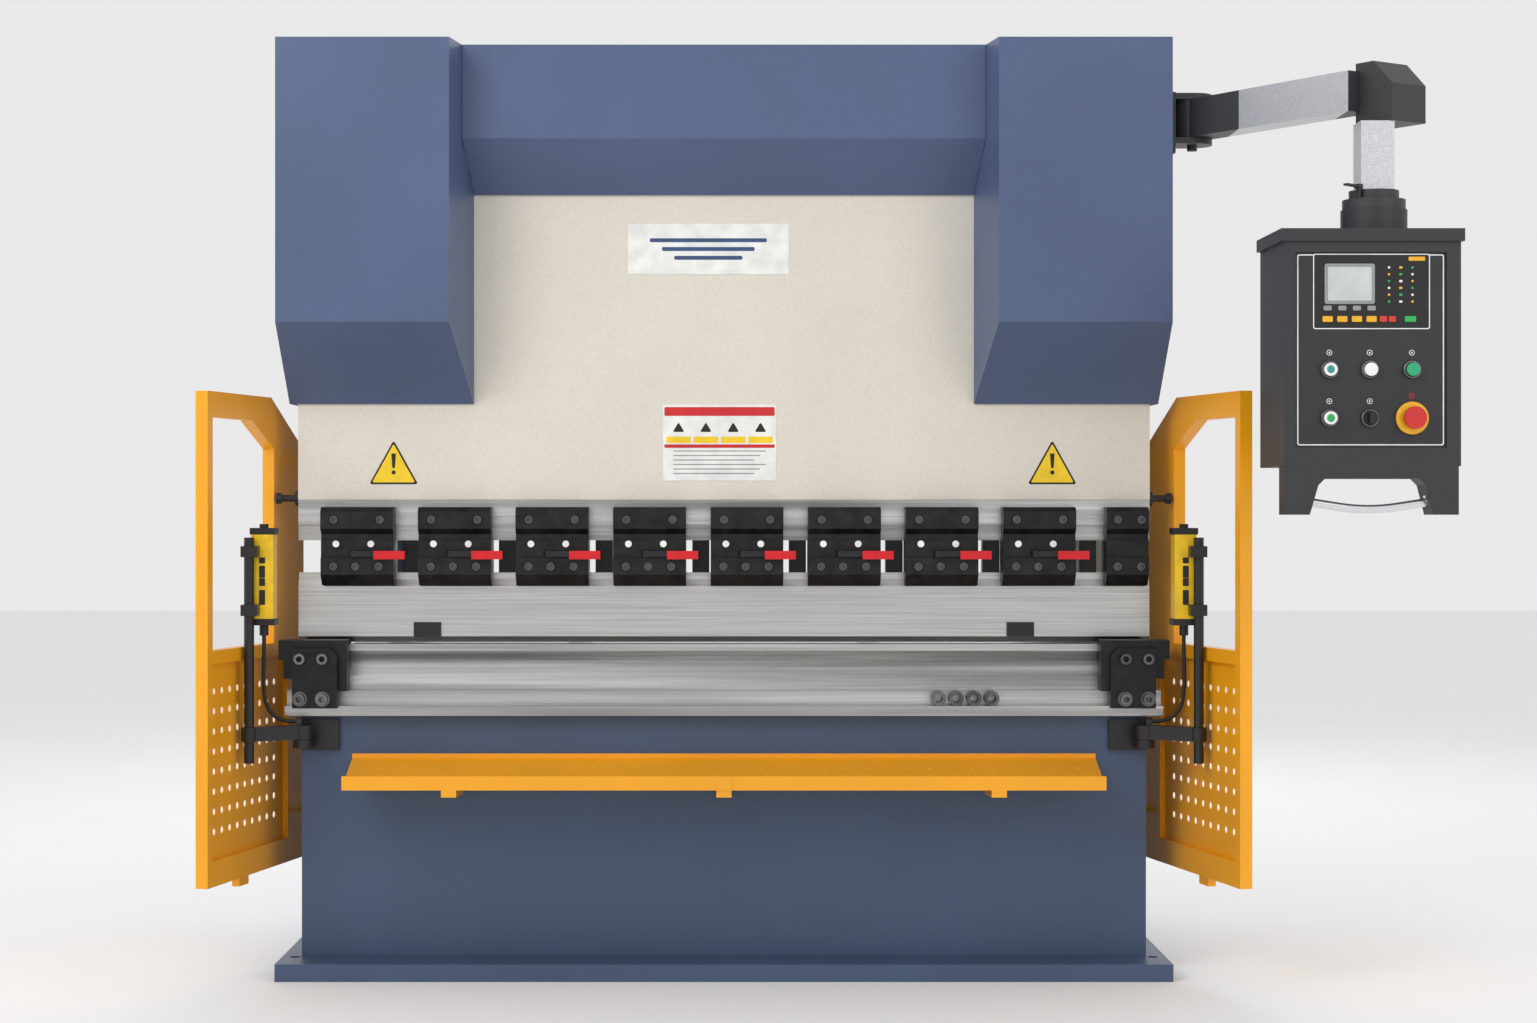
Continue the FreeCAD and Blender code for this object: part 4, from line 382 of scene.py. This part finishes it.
def softCorners(corners, radius, steps=5):
    # each corner of a convex outline becomes an arc, between the outward normals of its two edges
    corners = np.array(corners, float)
    before = corners - np.roll(corners, 1, axis=0)
    after = np.roll(corners, -1, axis=0) - corners
    before /= np.linalg.norm(before, axis=1)[:, None]
    after /= np.linalg.norm(after, axis=1)[:, None]
    startAngle = np.arctan2(-before[:, 0], before[:, 1])
    turn = np.arctan2(before[:, 0] * after[:, 1] - before[:, 1] * after[:, 0], (before * after).sum(axis=1))
    reach = radius / np.cos(turn / 2)
    middle = startAngle + turn / 2
    centres = corners - np.stack([np.cos(middle), np.sin(middle)], axis=1) * reach[:, None]
    angles = startAngle[:, None] + turn[:, None] * np.linspace(0, 1, steps)[None, :]
    arcs = centres[:, None, :] + radius * np.stack([np.cos(angles), np.sin(angles)], axis=-1)
    return arcs.reshape(-1, 2)


def plaque(name, outline, face, thick, finish, body, crown=0.3, edge=None):
    # a closed plate on a surface that looks to the front: loops of the outline step forward and
    # inward round its rim, then close on the middle. outline is in X and Z, face is the surface's Y
    outline = np.array(outline)
    middle = outline.mean(axis=0)
    edge = edge or thick * 0.4
    reach = np.abs(outline - middle).max()
    inset = np.array([0, 0, 0.3, 1.0, 4.0, 12.0]) * edge
    inset = np.minimum(inset, reach * 0.6)
    rise = np.array([0, 1 - crown, 1 - crown * 0.35, 1, 1, 1]) * thick
    shrink = 1 - inset[:, None, None] / reach
    flat = middle + (outline - middle)[None, :, :] * shrink
    depth = np.broadcast_to(face - rise[:, None], flat.shape[:2])
    loops = np.stack([flat[..., 0], depth, flat[..., 1]], axis=-1)
    count = len(outline)
    faces = [quad[::-1] for quad in ringFaces(len(loops), count)]
    last = (len(loops) - 1) * count
    faces.append(list(range(last, last + count)))
    faces.append(list(range(count - 1, -1, -1)))
    piece = meshFrom(name, loops, faces, finish, body)
    faceOutwards(piece)
    return piece


def faceOutwards(piece):
    work = bmesh.new()
    work.from_mesh(piece.data)
    bmesh.ops.recalc_face_normals(work, faces=work.faces)
    work.to_mesh(piece.data)
    work.free()


# a rectangle about its middle, with its corners rounded
def oblong(centreX, centreZ, width, height, corner, steps=5):
    right, up = width / 2, height / 2
    signs = np.array([[-1, -1], [1, -1], [1, 1], [-1, 1]])
    return softCorners(signs * [right, up] + [centreX, centreZ], corner, steps)


def turnedRing(name, centre, profile, finish, body, count=40):
    # a profile of radius and height turned about the Y axis, and closed on itself
    profile = np.array(profile)
    angle = np.linspace(0, 2 * math.pi, count, endpoint=False)
    radius = profile[:, 0][:, None]
    rings = np.stack([centre[0] + radius * np.cos(angle), np.broadcast_to(centre[1] - profile[:, 1][:, None],
                     (len(profile), count)), centre[2] + radius * np.sin(angle)], axis=-1)
    closed = np.concatenate([rings, rings[:1]])
    piece = meshFrom(name, closed, ringFaces(len(closed), count), finish, body)
    joinDoubles(piece)
    faceOutwards(piece)
    for polygon in piece.data.polygons:
        polygon.use_smooth = True
    return piece


def joinDoubles(piece):
    work = bmesh.new()
    work.from_mesh(piece.data)
    bmesh.ops.remove_doubles(work, verts=work.verts, dist=1e-6)
    work.to_mesh(piece.data)
    work.free()


# lengths in metres; a sign is its middle in X and Z, then its width and height
signs = {
    "thick": 0.0012, "corner": 0.004, "film": 0.0004, "markFilm": 0.0003,
    "namePlate": (-0.032, 1.477, 0.330, 0.104),  # middle X and Z, width, height
    "noticePlate": (-0.009, 1.080, 0.232, 0.156), "triangleX": 0.675, "triangleZ": 1.040,
    "triangleWide": 0.100, "triangleHigh": 0.090, "borderThick": 0.001,
}


def makeRamSigns():
    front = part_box("ram")[0].y
    thick, film = signs["thick"], signs["film"]
    x, z, wide, high = signs["namePlate"]
    plaque("name_plate", oblong(x, z, wide, high, signs["corner"]), front, thick, inkWhite,
           "ram")
    onPlate = front - thick
    for i in range(3):  # three plain bars, as on a blank dealer's plate
        plaque(f"name_plate_bar_{i}", oblong(x, z + (1 - i) * 0.018, 0.24 - i * 0.05, 0.008, 0.003), onPlate,
               film, inkBlue, "ram")
    x, z, wide, high = signs["noticePlate"]
    plaque("notice_plate", oblong(x, z, wide, high, signs["corner"]), front, thick, inkWhite,
           "ram")
    top = z + high / 2
    plaque("notice_header", oblong(x, top - 0.014, wide - 0.006, 0.018, 0.002), onPlate, film, inkRed,
           "ram")
    for i in range(4):
        across = x + (i - 1.5) * 0.056
        plaque(f"notice_tile_{i}", oblong(across, top - 0.046, 0.050, 0.036, 0.002), onPlate, film, inkWhite,
               "ram")
        corners = [[across - 0.012, top - 0.056], [across + 0.012, top - 0.056], [across, top - 0.036]]
        plaque(f"notice_mark_{i}", softCorners(corners, 0.002), onPlate - film, signs["markFilm"], inkBlack,
               "ram")
        plaque(f"notice_strip_{i}", oblong(across, top - 0.072, 0.050, 0.013, 0.001), onPlate, film,
               inkYellow, "ram")
    plaque("notice_band", oblong(x, top - 0.085, wide - 0.006, 0.007, 0.001), onPlate, film, inkRed,
           "ram")
    for i in range(6):
        short = 0.006 * (i % 3)  # the rows end unevenly, as text does
        plaque(f"notice_line_{i}", oblong(x - short, top - 0.095 - i * 0.0092, wide * 0.82 - 2 * short,
               0.0022, 0.001), onPlate, signs["markFilm"], inkGrey, "ram")
    for side in (-1, 1):
        makeTriangleSign(side, front)


def makeTriangleSign(side, front):
    x, z = side * signs["triangleX"] - 0.002, signs["triangleZ"]
    half, high = signs["triangleWide"] / 2, signs["triangleHigh"]
    onField = front - signs["borderThick"] - signs["film"]

    def triangle(scale, radius):
        low = z - high * 0.5 + high * (1 - scale) * 0.33
        corners = [[x - half * scale, low], [x + half * scale, low], [x, low + high * scale]]
        return softCorners(corners, radius)

    word = "left" if side < 0 else "right"
    plaque(f"{word}_triangle_border", triangle(1.0, 0.003), front, signs["borderThick"], inkBlack,
           "ram")
    plaque(f"{word}_triangle_field", triangle(0.88, 0.002), front - signs["borderThick"],
           signs["film"], inkYellow, "ram")
    stroke = [[x - 0.0026, z - 0.012], [x + 0.0026, z - 0.012],
              [x + 0.0048, z + 0.018], [x - 0.0048, z + 0.018]]
    plaque(f"{word}_triangle_stroke", softCorners(stroke, 0.0016), onField, signs["film"], inkBlack,
           "ram")
    plaque(f"{word}_triangle_dot", oblong(x, z - 0.021, 0.0084, 0.0084, 0.0040, 8), onField, signs["film"],
           inkBlack, "ram")


makeRamSigns()
print("signs on the ram")


# the face's pieces: middle in X and Z, width, height
pendantFace = {
    "line": 0.0022, "lineThick": 0.0006, "keyThick": 0.0022, "labelUp": 0.031,
    "membrane": (1.186, 1.342, 0.214, 0.138), "screen": (1.146, 1.356, 0.080, 0.062),
    "deep": 0.005, "filmThick": 0.0012, "markThick": 0.0005, "screenThick": 0.0008, "stopLabelUp": 0.010,
}


def outlineFrame(name, centre, size, line, face, thick, finish):
    # a thin raised line: the outer and the inner loop at two heights, joined round
    outer = oblong(*centre, *size, 0.004)
    inner = oblong(*centre, size[0] - 2 * line, size[1] - 2 * line, 0.003)
    loops = [(outer, 0), (outer, thick), (inner, thick), (inner, 0), (outer, 0)]
    rings = np.stack([np.stack([flat[:, 0], np.full(len(flat), face - rise), flat[:, 1]], axis=-1)
                      for flat, rise in loops])
    piece = meshFrom(name, rings, ringFaces(len(rings), len(outer)), finish, "pendant")
    joinDoubles(piece)
    faceOutwards(piece)
    return piece


def makePendantFace():
    low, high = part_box("pendant_panel")
    face = low.y + pendantFace["deep"]
    film = pendantFace["filmThick"]
    markThick = pendantFace["markThick"]
    middle = ((low.x + high.x) / 2, (low.z + high.z) / 2)
    size = (high.x - low.x - 0.008, high.z - low.z - 0.008)
    outlineFrame("panel_line", middle, size, pendantFace["line"], face, pendantFace["lineThick"], inkWhite)
    x, z, wide, tall = pendantFace["membrane"]
    plaque("membrane", oblong(x, z, wide, tall, 0.005), face, film, inkBlack, "pendant")
    onFilm = face - film
    outlineFrame("membrane_line", (x, z), (wide, tall), 0.0018, onFilm, 0.0004, inkWhite)
    x, z, wide, tall = pendantFace["screen"]
    plaque("screen_surround", oblong(x, z, wide + 0.012, tall + 0.012, 0.004), onFilm, film, inkGrey,
           "pendant")
    plaque("screen", oblong(x, z, wide, tall, 0.002), onFilm - film, pendantFace["screenThick"], screenGrey,
           "pendant")
    thick = pendantFace["keyThick"]
    rows = [
        ("key_upper", 1.1055, 0.0268, 4, 1.3115, 0.0150, 0.0090, inkGrey, "cabinet_grey"),
        ("key_lower", 1.1055, 0.0268, 4, 1.2915, 0.0190, 0.0110, keyYellow, "guard_yellow"),
        ("key_stop", 1.2075, 0.0165, 2, 1.2915, 0.0135, 0.0110, keyRed, "button_red"),
        ("key_start", 1.2570, 0.0130, 1, 1.2915, 0.0210, 0.0110, keyGreen, "button_green"),
    ]
    for name, first, pitch, count, height, keyWide, keyTall, finish, slot in rows:
        for i in range(count):
            plaque(f"{name}_{i}", oblong(first + i * pitch, height, keyWide, keyTall, 0.0022), onFilm, thick,
                   finish, "pendant", crown=0.5)
    for row in range(6):  # a field of small lamps and their plain marks, to the right of the screen
        for column in range(3):
            finish = (inkWhite, keyYellow, keyGreen)[(row + column) % 3]
            wide = 0.0060 if column == 1 else 0.0042
            x, z = 1.2180 + column * 0.0215, 1.386 - row * 0.0125
            plaque(f"mark_{row}_{column}", oblong(x, z, wide, 0.0042, 0.0015), onFilm, markThick, finish,
                   "pendant")
    plaque("type_tag", oblong(1.2690, 1.4020, 0.030, 0.0075, 0.001), onFilm, markThick, keyYellow, "pendant")


def makeControlTrims():
    trim = {"start_button": inkWhite, "light_button": inkWhite, "reset_button": inkWhite,
            "power_button": inkWhite, "selector_switch": inkWhite, "emergency_stop": inkRed}
    markThick = pendantFace["markThick"]
    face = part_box("pendant_panel")[0].y
    for node, labelFinish in trim.items():
        low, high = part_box(node)
        x, z = (low.x + high.x) / 2, (low.z + high.z) / 2
        if node == "emergency_stop":
            base = [(0.0118, 0.0002), (0.0300, 0.0002), (0.0306, -0.0030), (0.0300, 0.0012), (0.0270, 0.0030),
                    (0.0130, 0.0034)]
            turnedRing("stop_collar", (x, face, z), base, keyYellow, "pendant")
            crown = [(0.0190, -0.0006), (0.0199, -0.0008), (0.0206, -0.0024), (0.0206, -0.0092),
                     (0.0200, -0.0106), (0.0190, -0.0106)]
            turnedRing("stop_crown", (x, low.y, z), crown, stopRed, "emergency_stop")
        else:
            rim = [(0.0122, 0.0001), (0.0160, 0.0001), (0.0163, -0.0020), (0.0163, -0.0049),
                   (0.0167, -0.0049), (0.0167, 0.0002), (0.0158, 0.0018), (0.0130, 0.0020), (0.0122, 0.0010)]
            turnedRing(f"{node}_rim", (x, face, z), rim, zincSteel, "pendant")
        mark = 0.0052
        up = pendantFace["labelUp"] + (pendantFace["stopLabelUp"] if node == "emergency_stop" else 0)
        loop = [(mark - 0.0012, 0.0), (mark, 0.0), (mark, markThick), (mark - 0.0012, markThick)]
        labelFace = face + pendantFace["deep"]
        turnedRing(f"{node}_mark", (x, labelFace, z + up), loop, labelFinish, "pendant", 24)
        plaque(f"{node}_mark_dot", oblong(x, z + up, 0.0030, 0.0030, 0.0014, 6), labelFace, markThick,
               labelFinish, "pendant")
    for node, finish in (("start_button", lampTeal), ("power_button", keyGreen)):
        low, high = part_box(node)
        x, z = (low.x + high.x) / 2, (low.z + high.z) / 2
        dome = [(0.0001, 0.0001), (0.0070, 0.0001), (0.0072, 0.0004), (0.0060, 0.0014), (0.0001, 0.0019)]
        turnedRing(f"{node}_lens", (x, low.y, z), dome, finish, node, 32)


makePendantFace()
makeControlTrims()
print("pendant face")


# the cable's route is the one in the part's source, on the right side
curtain = {
    "diameter": 0.008, "barWide": 0.012, "barCorner": 0.002, "barThick": 0.0006, "barsFrom": 0.060,
    "barsTo": 0.050, "bars": ((0.15, 0.030), (0.42, 0.016), (0.60, 0.024), (0.80, 0.012)),
    "route": [(0.924, -0.1355, 0.690), (0.924, -0.1355, 0.646), (0.926, -0.1325, 0.601),
              (0.924, -0.127, 0.556), (0.911, -0.122, 0.530), (0.887, -0.1195, 0.516),
              (0.862, -0.1195, 0.516)],
}


def curveLength(piece):  # the line itself, measured along the points that the curve is drawn with
    copy = piece.copy()
    copy.data = piece.data.copy()
    copy.data.bevel_depth = 0
    bpy.context.scene.collection.objects.link(copy)
    bpy.context.view_layer.update()
    mesh = bpy.data.meshes.new_from_object(copy.evaluated_get(bpy.context.evaluated_depsgraph_get()))
    points = np.zeros(len(mesh.vertices) * 3)
    mesh.vertices.foreach_get("co", points)
    bpy.data.objects.remove(copy)
    bpy.data.meshes.remove(mesh)
    return float(np.linalg.norm(np.diff(points.reshape(-1, 3), axis=0), axis=1).sum())


def makeCable(word, side):
    line = bpy.data.curves.new(f"{word}_cable", "CURVE")
    line.dimensions = "3D"
    line.resolution_u = 12
    line.render_resolution_u = 12
    line.bevel_depth = curtain["diameter"] / 2
    line.bevel_resolution = 5
    line.use_fill_caps = True
    spline = line.splines.new("NURBS")
    route = curtain["route"]
    spline.points.add(len(route) - 1)
    for point, (x, y, z) in zip(spline.points, route):
        point.co = (side * x, y, z, 1)
    spline.order_u = 3
    spline.use_endpoint_u = True
    cable = bpy.data.objects.new(f"{word}_cable", line)
    bpy.context.scene.collection.objects.link(cable)
    line.materials.append(cableRubber)
    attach(cable, f"{word}_curtain")
    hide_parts(f"{word}_curtain_cable")
    x, y, z = route[0]
    length = curveLength(cable)
    print(word, "cable", round(length, 3), "m")


def makeUnitBars(word):
    # plain dark bars down the front of the yellow tube
    low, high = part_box(f"{word}_curtain_unit")
    x = (low.x + high.x) / 2
    front = low.y
    start, end = low.z + curtain["barsFrom"], high.z - curtain["barsTo"]
    for i, (share, tall) in enumerate(curtain["bars"]):
        height = start + (end - start) * share
        plaque(f"{word}_unit_bar_{i}", oblong(x, height, curtain["barWide"], tall, curtain["barCorner"]),
               front, curtain["barThick"], inkBlack, f"{word}_curtain")


for word, side in (("left", -1), ("right", 1)):
    makeCable(word, side)
    makeUnitBars(word)
print("light curtains")


studio = {"floorSize": 40.0, "cameraY": -5.56, "cameraZ": 0.939, "lens": 63.24, "shift": 0.029}


def makeFloor():
    half = studio["floorSize"] / 2
    mesh = bpy.data.meshes.new("floor")
    corners = [(-half, -half, 0), (half, -half, 0), (half, half, 0), (-half, half, 0)]
    mesh.from_pydata(corners, [], [(0, 1, 2, 3)])
    floor = bpy.data.objects.new("floor", mesh)
    bpy.context.scene.collection.objects.link(floor)
    material, tree, shader, place = blankFinish("floorPaint")
    shade = blendColours(tree, spreadOf(tree, noiseAt(tree, place, 2.0, 3), 0, 1), (0.875, 0.875, 0.875, 1),
                         (0.885, 0.885, 0.885, 1))
    tree.links.new(shade, shader.inputs["Base Color"])
    shader.inputs["Roughness"].default_value = 0.8
    mesh.materials.append(material)


def makeLamp(name, place, aim, size, power):
    lamp = bpy.data.lights.new(name, "AREA")
    lamp.shape = "RECTANGLE"
    lamp.size, lamp.size_y = size
    lamp.energy = power
    holder = bpy.data.objects.new(name, lamp)
    bpy.context.scene.collection.objects.link(holder)
    place, aim = np.array(place, float), np.array(aim, float)
    x, y, z = aim - place
    holder.location = place
    holder.rotation_euler = (math.acos(-z / np.linalg.norm(aim - place)), 0, math.atan2(-x, y))


def makeStudio():
    makeFloor()
    world = bpy.data.worlds.new("studio")
    bpy.context.scene.world = world
    world.use_nodes = True
    world.node_tree.nodes["Background"].inputs["Color"].default_value = (1, 1, 1, 1)
    world.node_tree.nodes["Background"].inputs["Strength"].default_value = 0.82
    makeLamp("keyLamp", (-3.2, -4.2, 4.2), (0, 0, 1.0), (2.4, 2.4), 95)
    makeLamp("fillLamp", (3.6, -4.0, 2.6), (0.3, 0, 0.9), (2.2, 2.2), 24)
    makeLamp("backLamp", (0.5, 4.2, 3.8), (0, 0, 1.0), (2.5, 2.0), 60)
    bpy.context.scene.view_settings.view_transform = "Standard"
    lens = bpy.data.cameras.new("camera")
    lens.lens = studio["lens"]
    lens.sensor_width = 36
    lens.shift_x = studio["shift"]
    camera = bpy.data.objects.new("camera", lens)
    camera.location = (0, studio["cameraY"], studio["cameraZ"])
    camera.rotation_euler = (math.pi / 2, 0, 0)
    bpy.context.scene.collection.objects.link(camera)
    bpy.context.scene.camera = camera


makeStudio()
print("studio")
